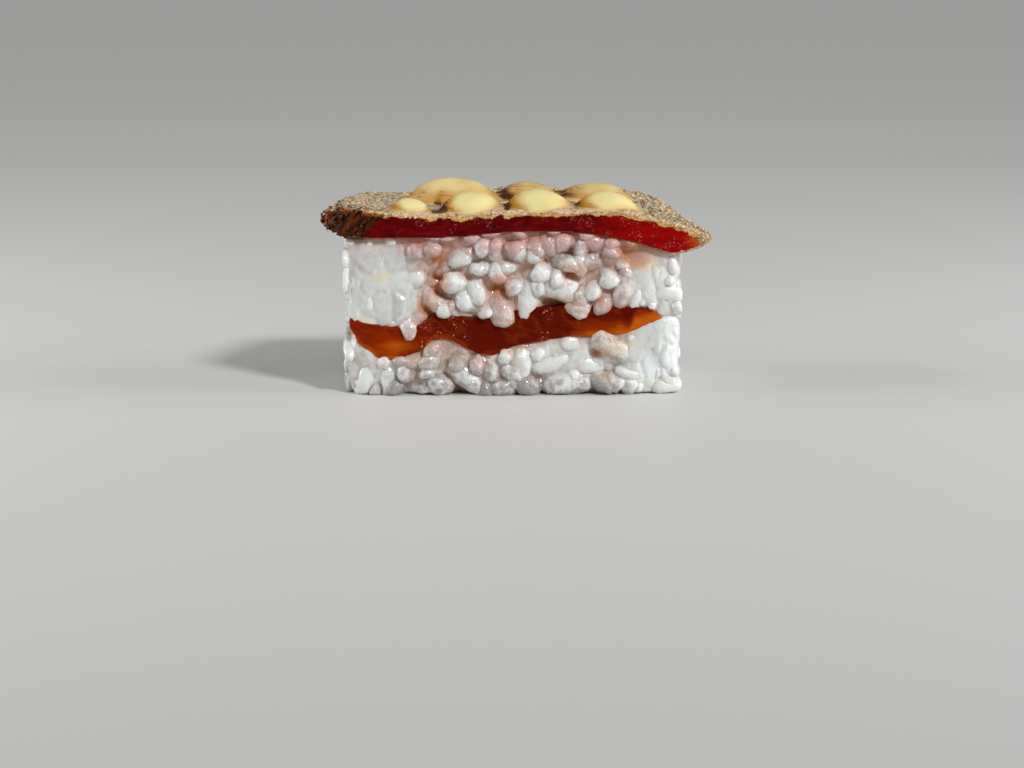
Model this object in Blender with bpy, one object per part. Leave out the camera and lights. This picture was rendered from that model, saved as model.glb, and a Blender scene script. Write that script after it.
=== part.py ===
"""Beef oshizushi: one cut block of pressed sushi, in metres, +Z up, the long side along X.

Two pressed layers of rice hold a soft filling between them. A slice of seared beef lies on the
upper rice and hangs over both ends, and seven domes of sauce stand on the beef in two rows.
The cut sides face -Y and +Y, and every layer runs through the block from one to the other.
All the sizes below are in millimetres.
"""

import math

import bmesh
import bpy
from mathutils import Vector, noise

MM = 0.001
GAP = 0.3  # room between pieces that touch

# The pressed block of rice
BLOCK_LEFT, BLOCK_RIGHT = -27.9, 28.0
BLOCK_FRONT, BLOCK_BACK = -13.5, 13.5
CORNER = 2.2  # radius of its upright corners
RIM_DRAW_IN, RIM_SHARPNESS = 0.6, 6  # how far its walls draw in at the foot and under the beef
GRAIN_RELIEF = 0.85  # how far the outermost grains stand proud of the walls
GRAIN_PITCH = 3.4  # distance between neighbouring grains
SEAM = 0.15  # half the room between the rice layers past the ends of the filling
SEAM_REACH = 1.2  # how far past the filling they take to close up

# The filling, as (x, height of its underside, height of its top) along the front cut
FILLING_FRONT = (
    (-27.1, 11.2, 13.4),
    (-24.3, 8.0, 11.6),
    (-19.6, 6.3, 10.9),
    (-15.4, 8.0, 11.2),
    (-12.4, 10.3, 13.9),
    (-8.2, 8.6, 12.8),
    (-4.2, 7.1, 12.6),
    (1.0, 8.8, 13.9),
    (9.7, 10.4, 14.7),
    (16.4, 10.6, 14.2),
    (21.6, 11.8, 14.0),
    (24.8, 13.3, 14.0),
)
FILLING_MEAN = (8.9, 12.9)  # its underside and top deep inside the block
FILLING_REACH = 9.0  # depth over which the front cut's shape fades to the mean
FILLING_WAVE, FILLING_PITCH = 1.1, 9.0  # height and length of its waves everywhere else
FILLING_WAVE_SHIFT = 40.5  # keeps the waves of its top apart from those of its underside
FILLING_KEEP = 0.35  # share of the front cut's rise and fall that it keeps right through
FILLING_END, FILLING_TAPER = 0.7, 4.0  # thickness at its two ends, and how far they thin over
FILLING_BLUNT = 0.15  # share of its taper that its ends have already opened by
FILLING_SET_BACK = 0.1  # how far its edges lie behind the rice at the cuts
FILLING_BULGE = 0.35  # how far it swells out of the two cuts

# The slice of beef, as (x, height of its underside, height of its top) along the front cut
BEEF_FRONT = (
    (-33.0, 28.9, 30.2),
    (-30.9, 28.0, 31.1),
    (-28.6, 27.1, 31.4),
    (-26.0, 26.4, 31.3),
    (-20.5, 26.5, 30.4),
    (-11.0, 26.5, 30.0),
    (-1.0, 27.3, 30.5),
    (8.0, 27.4, 30.5),
    (17.0, 26.3, 30.6),
    (22.5, 24.9, 29.6),
    (26.5, 23.8, 28.5),
    (30.0, 24.6, 27.4),
    (33.1, 25.7, 26.4),
)
BEEF_FRONT_Y, BEEF_BACK_Y = -14.0, 14.0
BEEF_LEFT, BEEF_RIGHT = -33.0, 33.1
BEEF_BACK_CUT_IN = (8.0, 5.2)  # how much the left and right ends draw in towards the back
BEEF_CUT_IN_START = (0.0, 0.1)  # share of the depth at which each end starts to draw in
BEEF_CUT_IN_RATE = 1.1
BEEF_CORNERS = {(-1, -1): 8.0, (1, -1): 2.5, (-1, 1): 5.0, (1, 1): 4.5}
BEEF_BACK_RISE = 0.8  # how much higher its middle lies at the back than at the front
BEEF_RISE_MIDDLE = 4.0  # where along the slice that rise is centred
BEEF_RISE_TO, BEEF_RISE_FADE = 18.0, 12.0  # how far to each side it reaches, and its fade
BEEF_SWELL, BEEF_SWELL_PITCH = 0.25, 11.0  # gentle waves towards the back
BEEF_SWELL_SHIFT = 6.6
BEEF_END_ROUND = 0.5  # how far its two ends round over

# The domes of sauce: name, centre x, centre y, half width, half depth, height
SAUCE_DOMES = (
    ("sauce_dome_front_1", -17.0, -9.7, 2.9, 3.4, 1.9),
    ("sauce_dome_front_2", -7.0, -8.4, 5.0, 5.0, 2.6),
    ("sauce_dome_front_3", 4.3, -8.4, 5.5, 5.0, 2.7),
    ("sauce_dome_front_4", 15.8, -8.4, 5.1, 4.9, 2.2),
    ("sauce_dome_back_1", -10.2, 3.1, 6.9, 5.6, 3.5),
    ("sauce_dome_back_2", 2.8, 3.2, 4.9, 5.2, 2.3),
    ("sauce_dome_back_3", 13.8, 3.0, 5.6, 5.3, 2.1),
)
DOME_SHOULDER = 1.15  # above 1 the flanks of a dome are hollowed a little towards its foot
DOME_UNEVEN = 0.06  # how far the foot's outline strays from an oval, as a share of its radius
DOME_SEGMENTS, DOME_RINGS = 20, 10
SHARP_ANGLE = 50  # degrees between faces above which an edge is shaded sharp

# How finely the layers are divided
LENGTH_STEPS, DEPTH_STEPS = 22, 12
LOWER_STEPS, UPPER_STEPS, FILLING_STEPS, BEEF_STEPS = 4, 6, 2, 3
BEEF_LENGTH_STEPS = 28

MATERIALS = {
    # name: base colour, roughness, share of light scattered inside
    "pressed_rice": ((0.71, 0.70, 0.66, 1.0), 0.35, 0.3),
    "amber_filling": ((0.28, 0.035, 0.006, 1.0), 0.18, 0.2),
    "seared_beef": ((0.24, 0.02, 0.015, 1.0), 0.3, 0.1),
    "yellow_sauce": ((0.80, 0.62, 0.27, 1.0), 0.3, 0.1),
}


def clear_scene():
    for obj in list(bpy.data.objects):
        bpy.data.objects.remove(obj, do_unlink=True)


def make_material(name):
    colour, roughness, scatter = MATERIALS[name]
    material = bpy.data.materials.new(name)
    material.use_nodes = True
    shader = material.node_tree.nodes["Principled BSDF"]
    shader.inputs["Base Color"].default_value = colour
    shader.inputs["Roughness"].default_value = roughness
    shader.inputs["Metallic"].default_value = 0.0
    shader.inputs["Subsurface Weight"].default_value = scatter
    shader.inputs["Subsurface Scale"].default_value = 2 * MM
    return material


def mix(a, b, share):
    return a + (b - a) * share


def clamp(value, low=0.0, high=1.0):
    return max(low, min(high, value))


def ease(value):
    value = clamp(value)
    return value * value * (3 - 2 * value)


def waves(x, y, z, pitch):
    """Smooth unevenness between about -1 and 1, with bumps about one pitch apart."""
    return noise.noise(Vector((x, y, z)) / pitch)


def through(points, column, x):
    """The height at x of the smooth curve through the points' given column."""
    last = len(points) - 1
    start = 0
    while start < last - 1 and x > points[start + 1][0]:
        start += 1

    def slope(i):
        before, after = points[max(i - 1, 0)], points[min(i + 1, last)]
        return (after[column] - before[column]) / (after[0] - before[0])

    left, right = points[start], points[start + 1]
    width = right[0] - left[0]
    t = clamp((x - left[0]) / width)
    rise = slope(start) * width
    fall = slope(start + 1) * width
    return (
        left[column] * (1 + 2 * t) * (1 - t) ** 2
        + rise * t * (1 - t) ** 2
        + right[column] * t * t * (3 - 2 * t)
        - fall * t * t * (1 - t)
    )


def filling_face(side, x, y):
    """Height of the filling's underside (side 0) or top (side 1)."""
    front = through(FILLING_FRONT, side + 1, x)
    deep = FILLING_MEAN[side] + FILLING_WAVE * waves(x, y, FILLING_WAVE_SHIFT * side, FILLING_PITCH)
    deep += FILLING_KEEP * (through(FILLING_FRONT, 2, x) - FILLING_MEAN[1])
    inside = ease((y - BLOCK_FRONT) / FILLING_REACH)
    return mix(front, deep, inside)


def filling_faces(x, y):
    """Underside and top of the filling, thinned to a feather at its ends."""
    low, high = filling_face(0, x, y), filling_face(1, x, y)
    first, last = FILLING_FRONT[0][0], FILLING_FRONT[-1][0]
    nearest_end = min(x - first, last - x)
    thickness = mix(FILLING_END, high - low, ease(nearest_end / FILLING_TAPER + FILLING_BLUNT))
    centre = (low + high) / 2
    return centre - thickness / 2, centre + thickness / 2


def rice_faces(x, y):
    """Top of the lower rice and underside of the upper rice, which meet past the filling."""
    first, last = FILLING_FRONT[0][0], FILLING_FRONT[-1][0]
    low, high = filling_faces(clamp(x, first, last), y)
    past = max(first - x, x - last)
    if past <= 0:
        return low - GAP, high + GAP
    centre = (low + high) / 2
    half = mix((high - low) / 2 + GAP, SEAM, ease(past / SEAM_REACH))
    return centre - half, centre + half


def beef_faces(x, y):
    """Underside and top of the beef, whose middle rises a little towards the back."""
    back = (y - BEEF_FRONT_Y) / (BEEF_BACK_Y - BEEF_FRONT_Y)
    end = ease((abs(x - BEEF_RISE_MIDDLE) - BEEF_RISE_TO) / BEEF_RISE_FADE)
    swell = BEEF_SWELL * waves(x, y, BEEF_SWELL_SHIFT, BEEF_SWELL_PITCH) * back
    lift = BEEF_BACK_RISE * back * (1 - end) + swell
    return through(BEEF_FRONT, 1, x) + lift, through(BEEF_FRONT, 2, x) + lift


def round_corner(x, y, sides, radius_of):
    """Bends a rectangle's points so that its corners are round."""
    left, right, front, back = sides
    corner = (1 if x > (left + right) / 2 else -1, 1 if y > (front + back) / 2 else -1)
    radius = radius_of(corner)
    centre_x = clamp(x, left + radius, right - radius)
    centre_y = clamp(y, front + radius, back - radius)
    dx, dy = x - centre_x, y - centre_y
    reach = math.hypot(dx, dy)
    if reach == 0:
        return x, y
    keep = max(abs(dx), abs(dy)) / reach
    return centre_x + dx * keep, centre_y + dy * keep


def box_grid(steps):
    """A box from 0 to 1 each way, cut into the given number of steps along each axis."""
    mesh = bmesh.new()
    bmesh.ops.create_cube(mesh, size=1.0)
    bmesh.ops.translate(mesh, verts=mesh.verts, vec=(0.5, 0.5, 0.5))
    for axis, count in enumerate(steps):
        normal = [0.0, 0.0, 0.0]
        normal[axis] = 1.0
        for cut in range(1, count):
            point = [0.0, 0.0, 0.0]
            point[axis] = cut / count
            geometry = mesh.verts[:] + mesh.edges[:] + mesh.faces[:]
            bmesh.ops.bisect_plane(mesh, geom=geometry, plane_co=point, plane_no=normal)
    return mesh


def add_object(name, mesh, material, collection):
    bmesh.ops.recalc_face_normals(mesh, faces=mesh.faces)
    data = bpy.data.meshes.new(name)
    mesh.to_mesh(data)
    mesh.free()
    data.materials.append(material)
    data.shade_smooth()
    data.set_sharp_from_angle(angle=math.radians(SHARP_ANGLE))
    obj = bpy.data.objects.new(name, data)
    collection.objects.link(obj)
    return obj


def shape_box(steps, place):
    """A gridded box whose points are moved to place(i, j, w), i and j counting steps."""
    mesh = box_grid(steps)
    for vert in mesh.verts:
        i = round(vert.co.x * steps[0])
        j = round(vert.co.y * steps[1])
        vert.co = Vector(place(i, j, vert.co.z)) * MM
    return mesh


def filling_stations():
    first, last = FILLING_FRONT[0][0], FILLING_FRONT[-1][0]
    return [mix(first, last, i / LENGTH_STEPS) for i in range(LENGTH_STEPS + 1)]


def rice_layer(name, layer, steps_up, material, collection):
    """One layer of rice, out to its uneven outline of grains."""
    along = [BLOCK_LEFT] + filling_stations() + [BLOCK_RIGHT]
    sides = (BLOCK_LEFT, BLOCK_RIGHT, BLOCK_FRONT, BLOCK_BACK)
    last = len(along) - 1

    def faces(x, y):
        lower_top, upper_bottom = rice_faces(x, y)
        if layer == "lower":
            return 0.0, lower_top
        return upper_bottom, beef_faces(x, y)[0] - GAP

    def place(i, j, w):
        x = along[i]
        y = mix(BLOCK_FRONT, BLOCK_BACK, j / DEPTH_STEPS)
        x, y = round_corner(x, y, sides, lambda corner: CORNER)
        low, high = faces(x, y)
        z = mix(low, high, w)
        out_x = (i == last) - (i == 0)
        out_y = (j == DEPTH_STEPS) - (j == 0)
        if out_x or out_y:
            rim = 1 - w if layer == "lower" else w
            proud = GRAIN_RELIEF * waves(x, y, z, GRAIN_PITCH) - RIM_DRAW_IN * rim**RIM_SHARPNESS
            scale = proud / math.hypot(out_x, out_y)
            x += out_x * scale
            y += out_y * scale
        return x, y, z

    mesh = shape_box((last, DEPTH_STEPS, steps_up), place)
    return add_object(name, mesh, material, collection)


def filling_layer(material, collection):
    """The filling, which shows at both cuts and ends just inside the rice at its sides."""
    along = filling_stations()

    def place(i, j, w):
        x = along[i]
        y = mix(BLOCK_FRONT + FILLING_SET_BACK, BLOCK_BACK - FILLING_SET_BACK, j / DEPTH_STEPS)
        low, high = filling_faces(x, y)
        bulge = FILLING_BULGE * math.sin(math.pi * w)
        y += bulge * ((j == DEPTH_STEPS) - (j == 0))
        return x, y, mix(low, high, w)

    mesh = shape_box((LENGTH_STEPS, DEPTH_STEPS, FILLING_STEPS), place)
    return add_object("filling", mesh, material, collection)


def beef_outline(u, v):
    """Where the beef's edge runs, seen from above: wider at the front, with round corners."""
    drawn_in = [
        depth * ease((v - start) * BEEF_CUT_IN_RATE)
        for depth, start in zip(BEEF_BACK_CUT_IN, BEEF_CUT_IN_START)
    ]
    left = BEEF_LEFT + drawn_in[0]
    right = BEEF_RIGHT - drawn_in[1]
    y = mix(BEEF_FRONT_Y, BEEF_BACK_Y, v)
    sides = (left, right, BEEF_FRONT_Y, BEEF_BACK_Y)
    return round_corner(mix(left, right, u), y, sides, BEEF_CORNERS.get)


def beef_slice(material, collection):
    """The seared slice, thick and rounded at its left end, thin at its right end."""

    def place(i, j, w):
        x, y = beef_outline(i / BEEF_LENGTH_STEPS, j / DEPTH_STEPS)
        low, high = beef_faces(x, y)
        if j not in (0, DEPTH_STEPS) and i in (0, BEEF_LENGTH_STEPS):
            x += math.copysign(BEEF_END_ROUND, x) * (math.sin(math.pi * w) - 1)
        return x, y, mix(low, high, w)

    mesh = shape_box((BEEF_LENGTH_STEPS, DEPTH_STEPS, BEEF_STEPS), place)
    return add_object("beef_slice", mesh, material, collection)


def sauce_dome(name, x, y, half_width, half_depth, height, material, collection):
    """A piped dome whose flat underside follows the beef."""
    mesh = bmesh.new()
    bmesh.ops.create_uvsphere(
        mesh, u_segments=DOME_SEGMENTS, v_segments=DOME_RINGS, radius=1.0
    )
    for vert in mesh.verts:
        angle = math.atan2(vert.co.y, vert.co.x)
        stray = 1 + DOME_UNEVEN * math.sin(2 * angle + x) + DOME_UNEVEN / 2 * math.sin(3 * angle + y)
        at_x = x + half_width * stray * vert.co.x
        at_y = y + half_depth * stray * vert.co.y
        rise = height * max(vert.co.z, 0.0) ** DOME_SHOULDER
        foot = beef_faces(at_x, at_y)[1] + GAP
        vert.co = Vector((at_x, at_y, foot + rise)) * MM
    return add_object(name, mesh, material, collection)


def centre_on_origin(objects):
    """Moves the whole so that the origin is the bottom centre of its box."""
    points = [vert.co for obj in objects for vert in obj.data.vertices]
    low = [min(point[axis] for point in points) for axis in range(3)]
    high = [max(point[axis] for point in points) for axis in range(3)]
    shift = Vector((-(low[0] + high[0]) / 2, -(low[1] + high[1]) / 2, -low[2]))
    for obj in objects:
        for vert in obj.data.vertices:
            vert.co += shift


def main():
    clear_scene()
    collection = bpy.data.collections.new("beef_oshizushi")
    bpy.context.scene.collection.children.link(collection)
    material = {name: make_material(name) for name in MATERIALS}
    rice = material["pressed_rice"]
    objects = [
        rice_layer("rice_lower", "lower", LOWER_STEPS, rice, collection),
        rice_layer("rice_upper", "upper", UPPER_STEPS, rice, collection),
        filling_layer(material["amber_filling"], collection),
        beef_slice(material["seared_beef"], collection),
    ]
    for dome in SAUCE_DOMES:
        objects.append(sauce_dome(*dome, material["yellow_sauce"], collection))
    centre_on_origin(objects)


main()
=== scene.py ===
import math

import bmesh
import bpy
import numpy as np
from mathutils import Matrix, Vector, noise
from mathutils.bvhtree import BVHTree


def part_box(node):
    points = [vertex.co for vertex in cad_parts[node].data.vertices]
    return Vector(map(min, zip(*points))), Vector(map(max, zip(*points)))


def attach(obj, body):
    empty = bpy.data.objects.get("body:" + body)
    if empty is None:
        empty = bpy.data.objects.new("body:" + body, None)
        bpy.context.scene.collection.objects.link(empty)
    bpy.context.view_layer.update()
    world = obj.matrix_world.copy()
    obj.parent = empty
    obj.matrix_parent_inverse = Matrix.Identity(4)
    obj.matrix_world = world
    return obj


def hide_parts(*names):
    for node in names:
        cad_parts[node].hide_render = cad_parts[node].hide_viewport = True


# Beef oshizushi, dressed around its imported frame. Pieces are shaped in millimetres and turned
# into metres as they are finished.

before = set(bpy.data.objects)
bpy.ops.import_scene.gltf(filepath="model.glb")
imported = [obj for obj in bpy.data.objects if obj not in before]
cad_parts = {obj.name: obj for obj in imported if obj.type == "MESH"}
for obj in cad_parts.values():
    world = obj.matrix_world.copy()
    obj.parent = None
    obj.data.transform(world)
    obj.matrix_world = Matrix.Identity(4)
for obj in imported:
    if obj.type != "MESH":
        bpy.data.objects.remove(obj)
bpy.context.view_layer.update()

MM = 0.001
SEED = 23

RICE_LAYERS = ("rice_lower", "rice_upper")
FRONT_DOMES = [name for name in sorted(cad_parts) if name.startswith("sauce_dome_front")]
BACK_DOMES = [name for name in sorted(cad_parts) if name.startswith("sauce_dome_back")]
DOMES = FRONT_DOMES + BACK_DOMES


# ---- measures read from the frame


def box_mm(node):
    """The low and high corner of a frame node's box, in millimetres."""
    low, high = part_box(node)
    return np.array(low) / MM, np.array(high) / MM


JOIN_WITHIN = 0.002


def joined_mesh(node):
    """A frame node's mesh in millimetres, with its loose triangles joined."""
    mesh = bmesh.new()
    mesh.from_mesh(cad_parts[node].data)
    bmesh.ops.scale(mesh, vec=(1 / MM,) * 3, verts=mesh.verts)
    bmesh.ops.remove_doubles(mesh, verts=mesh.verts, dist=JOIN_WITHIN)
    return mesh


def height_reader(node, side, pitch=0.8, margin=0.5):
    """A function of x and y that gives the height of a node's top (side 1) or underside (0)."""
    mesh = joined_mesh(node)
    tree = BVHTree.FromBMesh(mesh)
    mesh.free()
    low, high = box_mm(node)
    xs = np.arange(low[0] + margin, high[0] - margin, pitch)
    ys = np.arange(low[1] + margin, high[1] - margin, pitch)
    start, down = (high[2] + 5, -1) if side else (low[2] - 5, 1)
    heights = np.full((len(xs), len(ys)), np.nan)
    for i, x in enumerate(xs):
        for j, y in enumerate(ys):
            hit = tree.ray_cast(Vector((x, y, start)), Vector((0, 0, down)))[0]
            if hit is not None:
                heights[i, j] = hit.z
    while np.isnan(heights).any():
        padded = np.pad(heights, 1, mode="edge")
        around = np.stack([padded[:-2, 1:-1], padded[2:, 1:-1], padded[1:-1, :-2], padded[1:-1, 2:]])
        known = ~np.isnan(around)
        total = np.where(known, around, 0).sum(0)
        filled = total / np.maximum(known.sum(0), 1)
        heights = np.where(np.isnan(heights) & known.any(0), filled, heights)

    def read(x, y):
        u = np.clip((np.asarray(x) - xs[0]) / pitch, 0, len(xs) - 1.001)
        v = np.clip((np.asarray(y) - ys[0]) / pitch, 0, len(ys) - 1.001)
        i, j = u.astype(int), v.astype(int)
        u, v = u - i, v - j
        near = heights[i, j] * (1 - v) + heights[i, j + 1] * v
        far = heights[i + 1, j] * (1 - v) + heights[i + 1, j + 1] * v
        return near * (1 - u) + far * u

    return read


rice_floor = {
    "rice_lower": lambda x, y: np.zeros_like(np.asarray(x, float)),
    "rice_upper": height_reader("rice_upper", 0),
}
rice_roof = {name: height_reader(name, 1) for name in RICE_LAYERS}
beef_top = height_reader("beef_slice", 1)
beef_bottom = height_reader("beef_slice", 0)


# ---- small helpers


def ease(value):
    """0 at and below 0, 1 at and above 1, and smooth between them."""
    value = np.clip(value, 0, 1)
    return value * value * (3 - 2 * value)


def above_zero(value):
    return np.clip(value, 0, None)


def noise_at(points, size, offset=0.0, rounds=1):
    """Smooth noise of about -1 to 1 at each point; each further round adds detail half the size."""
    total = np.zeros(len(points))
    for turn in range(rounds):
        scaled = points * (2**turn / size) + offset + 17.3 * turn
        total += np.fromiter((noise.noise(p) for p in scaled), float, len(points)) / 2**turn
    return total


def points_of(mesh):
    points = np.empty(len(mesh.vertices) * 3)
    mesh.vertices.foreach_get("co", points)
    return points.reshape(-1, 3)


def set_points(mesh, points):
    mesh.vertices.foreach_set("co", np.asarray(points, np.float32).ravel())
    mesh.update()


def normals_of(mesh):
    normals = np.empty(len(mesh.vertices) * 3, np.float32)
    mesh.vertices.foreach_get("normal", normals)
    return normals.reshape(-1, 3).astype(float)


def set_masks(mesh, **masks):
    """Stores numbers for the materials to read, one a vertex under each name."""
    for name, values in masks.items():
        layer = mesh.attributes.get(name) or mesh.attributes.new(name, "FLOAT", "POINT")
        layer.data.foreach_set("value", np.asarray(values, np.float32))


def as_data(mesh):
    """An edit mesh turned into mesh data."""
    if not isinstance(mesh, bmesh.types.BMesh):
        return mesh
    data = bpy.data.meshes.new("shape")
    mesh.to_mesh(data)
    mesh.free()
    return data


def object_from(mesh, name):
    obj = bpy.data.objects.new(name, as_data(mesh))
    bpy.context.scene.collection.objects.link(obj)
    return obj


def settled_mesh(obj):
    """The mesh that an object's modifiers make; the object itself is removed."""
    graph = bpy.context.evaluated_depsgraph_get()
    mesh = bpy.data.meshes.new_from_object(obj.evaluated_get(graph))
    bpy.data.objects.remove(obj, do_unlink=True)
    return mesh


def fine_skin(mesh, voxel, smooth_rounds=0):
    """An even, closed skin over a mesh, fine enough to carry relief."""
    obj = object_from(mesh, "skin")
    remesh = obj.modifiers.new("even", "REMESH")
    remesh.mode = "VOXEL"
    remesh.voxel_size = voxel
    if smooth_rounds:
        smooth = obj.modifiers.new("smooth", "SMOOTH")
        smooth.factor = 0.5
        smooth.iterations = smooth_rounds
    return settled_mesh(obj)


def fused_skin(meshes, voxel):
    """One even skin round several meshes."""
    together = bmesh.new()
    for mesh in meshes:
        together.from_mesh(as_data(mesh))
    return fine_skin(together, voxel)


def finish_piece(mesh, name, material, stands_for=()):
    """Turns a mesh in millimetres into a finished piece that rides on the block."""
    mesh.transform(Matrix.Scale(MM, 4))
    mesh.name = name
    mesh.materials.clear()
    mesh.materials.append(material)
    mesh.shade_smooth()
    piece = object_from(mesh, name)
    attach(piece, "root")
    if stands_for:
        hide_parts(*stands_for)
    return piece


# ---- node helpers


class Signal:
    """One output of a node, which plain arithmetic joins to further nodes."""

    def __init__(self, tree, socket):
        self.tree, self.socket = tree, socket

    def maths(self, operation, other=0.0, clamp=False):
        return maths(self.tree, operation, self, other, clamp)

    def __add__(self, other):
        return self.maths("ADD", other)

    def __sub__(self, other):
        return self.maths("SUBTRACT", other)

    def __mul__(self, other):
        return self.maths("MULTIPLY", other)

    def __rsub__(self, other):
        return maths(self.tree, "SUBTRACT", other, self)

    def __rtruediv__(self, other):
        return maths(self.tree, "DIVIDE", other, self)

    __radd__, __rmul__ = __add__, __mul__

    def between(self, low, high):
        """0 below low, 1 above high, and smooth between them."""
        inputs = {"Value": self, "From Min": low, "From Max": high}
        return add_node(self.tree, "ShaderNodeMapRange", inputs, "Result", interpolation_type="SMOOTHSTEP")

    def beside(self, output):
        """Another output of the same node."""
        return Signal(self.tree, self.socket.node.outputs[output])


def join(tree, value, socket):
    """Links a signal to a socket, or sets the socket to a plain value."""
    if isinstance(value, Signal):
        tree.links.new(value.socket, socket)
    else:
        socket.default_value = value


def add_node(tree, kind, inputs=None, output=0, **settings):
    """Adds a node with its settings and inputs, and gives one of its outputs."""
    node = tree.nodes.new(kind)
    for key, value in settings.items():
        setattr(node, key, value)
    for key, value in (inputs or {}).items():
        join(tree, value, node.inputs[key])
    return Signal(tree, node.outputs[output])


def maths(tree, operation, a, b=0.0, clamp=False):
    return add_node(tree, "ShaderNodeMath", {0: a, 1: b}, operation=operation, use_clamp=clamp)


def rgb(red, green, blue):
    """A display colour, 0 to 255, as the linear colour that a shader takes."""
    linear = [((c / 255 + 0.055) / 1.055) ** 2.4 if c > 10 else c / 255 / 12.92 for c in (red, green, blue)]
    return (*linear, 1.0)


def new_group(name, inputs, outputs, kind="ShaderNodeTree"):
    """An empty node group, its inputs as signals, and its outputs' sockets.

    An input that has no value of its own is of the kind that its label names.
    """
    group = bpy.data.node_groups.new(name, kind)
    for label, value in inputs.items():
        what = label if value is None else "Int" if isinstance(value, int) else "Float"
        socket = group.interface.new_socket(label, in_out="INPUT", socket_type="NodeSocket" + what)
        if value is not None:
            socket.default_value = value
    for label in outputs:
        what = label if label == "Geometry" else "Float"
        group.interface.new_socket(label, in_out="OUTPUT", socket_type="NodeSocket" + what)
    given = {socket.name: Signal(group, socket) for socket in group.nodes.new("NodeGroupInput").outputs}
    return group, given, group.nodes.new("NodeGroupOutput").inputs


def noise_node(tree, where, size, **looks):
    """Soft noise whose patches have a given size."""
    return add_node(tree, "ShaderNodeTexNoise", {"Vector": where, "Scale": 1.0 / size, **looks}, "Fac")


def mottle_group():
    """Soft-edged patches of two sizes, for uneven colour."""
    inputs = {"Vector": None, "Patch Size": 3.0, "Contrast": 1.0, "Detail": 4.0}
    group, given, result = new_group("mottle", inputs, ["Amount"])
    cloud = noise_node(group, given["Vector"], given["Patch Size"], Detail=given["Detail"], Roughness=0.55)
    spread = (cloud - 0.5) * given["Contrast"]
    join(group, spread.maths("ADD", 0.5, clamp=True), result["Amount"])
    return group


def wet_skin_group():
    """Fine relief of a moist surface: soft wrinkles with smaller grit on them."""
    inputs = {"Vector": None, "Wrinkle Size": 1.0, "Grit Size": 0.25, "Grit Share": 0.3}
    group, given, result = new_group("wet_skin", inputs, ["Height"])
    sizes = given["Wrinkle Size"], given["Grit Size"]
    wrinkles, grit = (noise_node(group, given["Vector"], size, Detail=2.0) for size in sizes)
    join(group, wrinkles + grit * given["Grit Share"], result["Height"])
    return group


def scorch_group():
    """Where the torch has browned a surface: streaks that follow its length, and dark specks."""
    inputs = {"Vector": None, "Streak Size": 2.0, "Reach": 0.5, "Speck Size": 0.5}
    group, given, result = new_group("scorch", inputs, ["Browned", "Specks"])
    looks = {"Detail": 6.0, "Roughness": 0.62, "Distortion": 0.6}
    streaks = noise_node(group, given["Vector"], given["Streak Size"], **looks)
    edge = 1.0 - given["Reach"]
    join(group, streaks.between(edge, edge + 0.22), result["Browned"])
    specks = noise_node(group, given["Vector"], given["Speck Size"], Detail=3.0)
    join(group, specks.between(0.58, 0.7), result["Specks"])
    return group


MOTTLE = mottle_group()
WET_SKIN = wet_skin_group()
SCORCH = scorch_group()


class Paint:
    """A material in the making. Its constants are set on the shader's own sockets."""

    def __init__(self, name, **constants):
        self.material = bpy.data.materials.new(name)
        self.material.use_nodes = True
        self.tree = self.material.node_tree
        self.shader = self.tree.nodes["Principled BSDF"].inputs
        for key, value in constants.items():
            self.shader[key.replace("_", " ").title().replace("Ior", "IOR")].default_value = value

    def place(self, stretch=(1.0, 1.0, 1.0), turn=0):
        """Object coordinates in millimetres, turned about Y by degrees and then drawn out."""
        where = add_node(self.tree, "ShaderNodeTexCoord", None, "Object")
        if turn:
            inputs = {"Vector": where, "Angle": math.radians(turn)}
            where = add_node(self.tree, "ShaderNodeVectorRotate", inputs, rotation_type="Y_AXIS")
        scale = tuple(1 / (MM * s) for s in stretch)
        return add_node(self.tree, "ShaderNodeMapping", {"Vector": where, "Scale": scale})

    def mask(self, name):
        return add_node(self.tree, "ShaderNodeAttribute", None, "Fac", attribute_name=name)

    def blend(self, amount, a, b):
        """A mix of two colours, each a signal or a display colour."""
        a, b = (rgb(*colour) if isinstance(colour, tuple) else colour for colour in (a, b))
        return add_node(self.tree, "ShaderNodeMix", {0: amount, 6: a, 7: b}, 2, data_type="RGBA")

    def use(self, group, where, **values):
        inputs = {"Vector": where, **{key.replace("_", " ").title(): values[key] for key in values}}
        return add_node(self.tree, "ShaderNodeGroup", inputs, node_tree=group)

    def mottle(self, where, size, contrast, detail=4.0):
        return self.use(MOTTLE, where, patch_size=size, contrast=contrast, detail=detail)

    def scorch(self, where, streak, reach, speck):
        return self.use(SCORCH, where, streak_size=streak, reach=reach, speck_size=speck)

    def wet_skin(self, where, wrinkle, grit, share=0.3):
        return self.use(WET_SKIN, where, wrinkle_size=wrinkle, grit_size=grit, grit_share=share)

    def finish(self, colour, roughness, height, depth, strength):
        """Joins colour, roughness and a relief of some millimetres to the shader."""
        relief = {"Strength": strength, "Distance": depth * MM, "Height": height}
        join(self.tree, colour, self.shader["Base Color"])
        join(self.tree, roughness, self.shader["Roughness"])
        join(self.tree, add_node(self.tree, "ShaderNodeBump", relief), self.shader["Normal"])
        return self.material


# ---- materials


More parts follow.
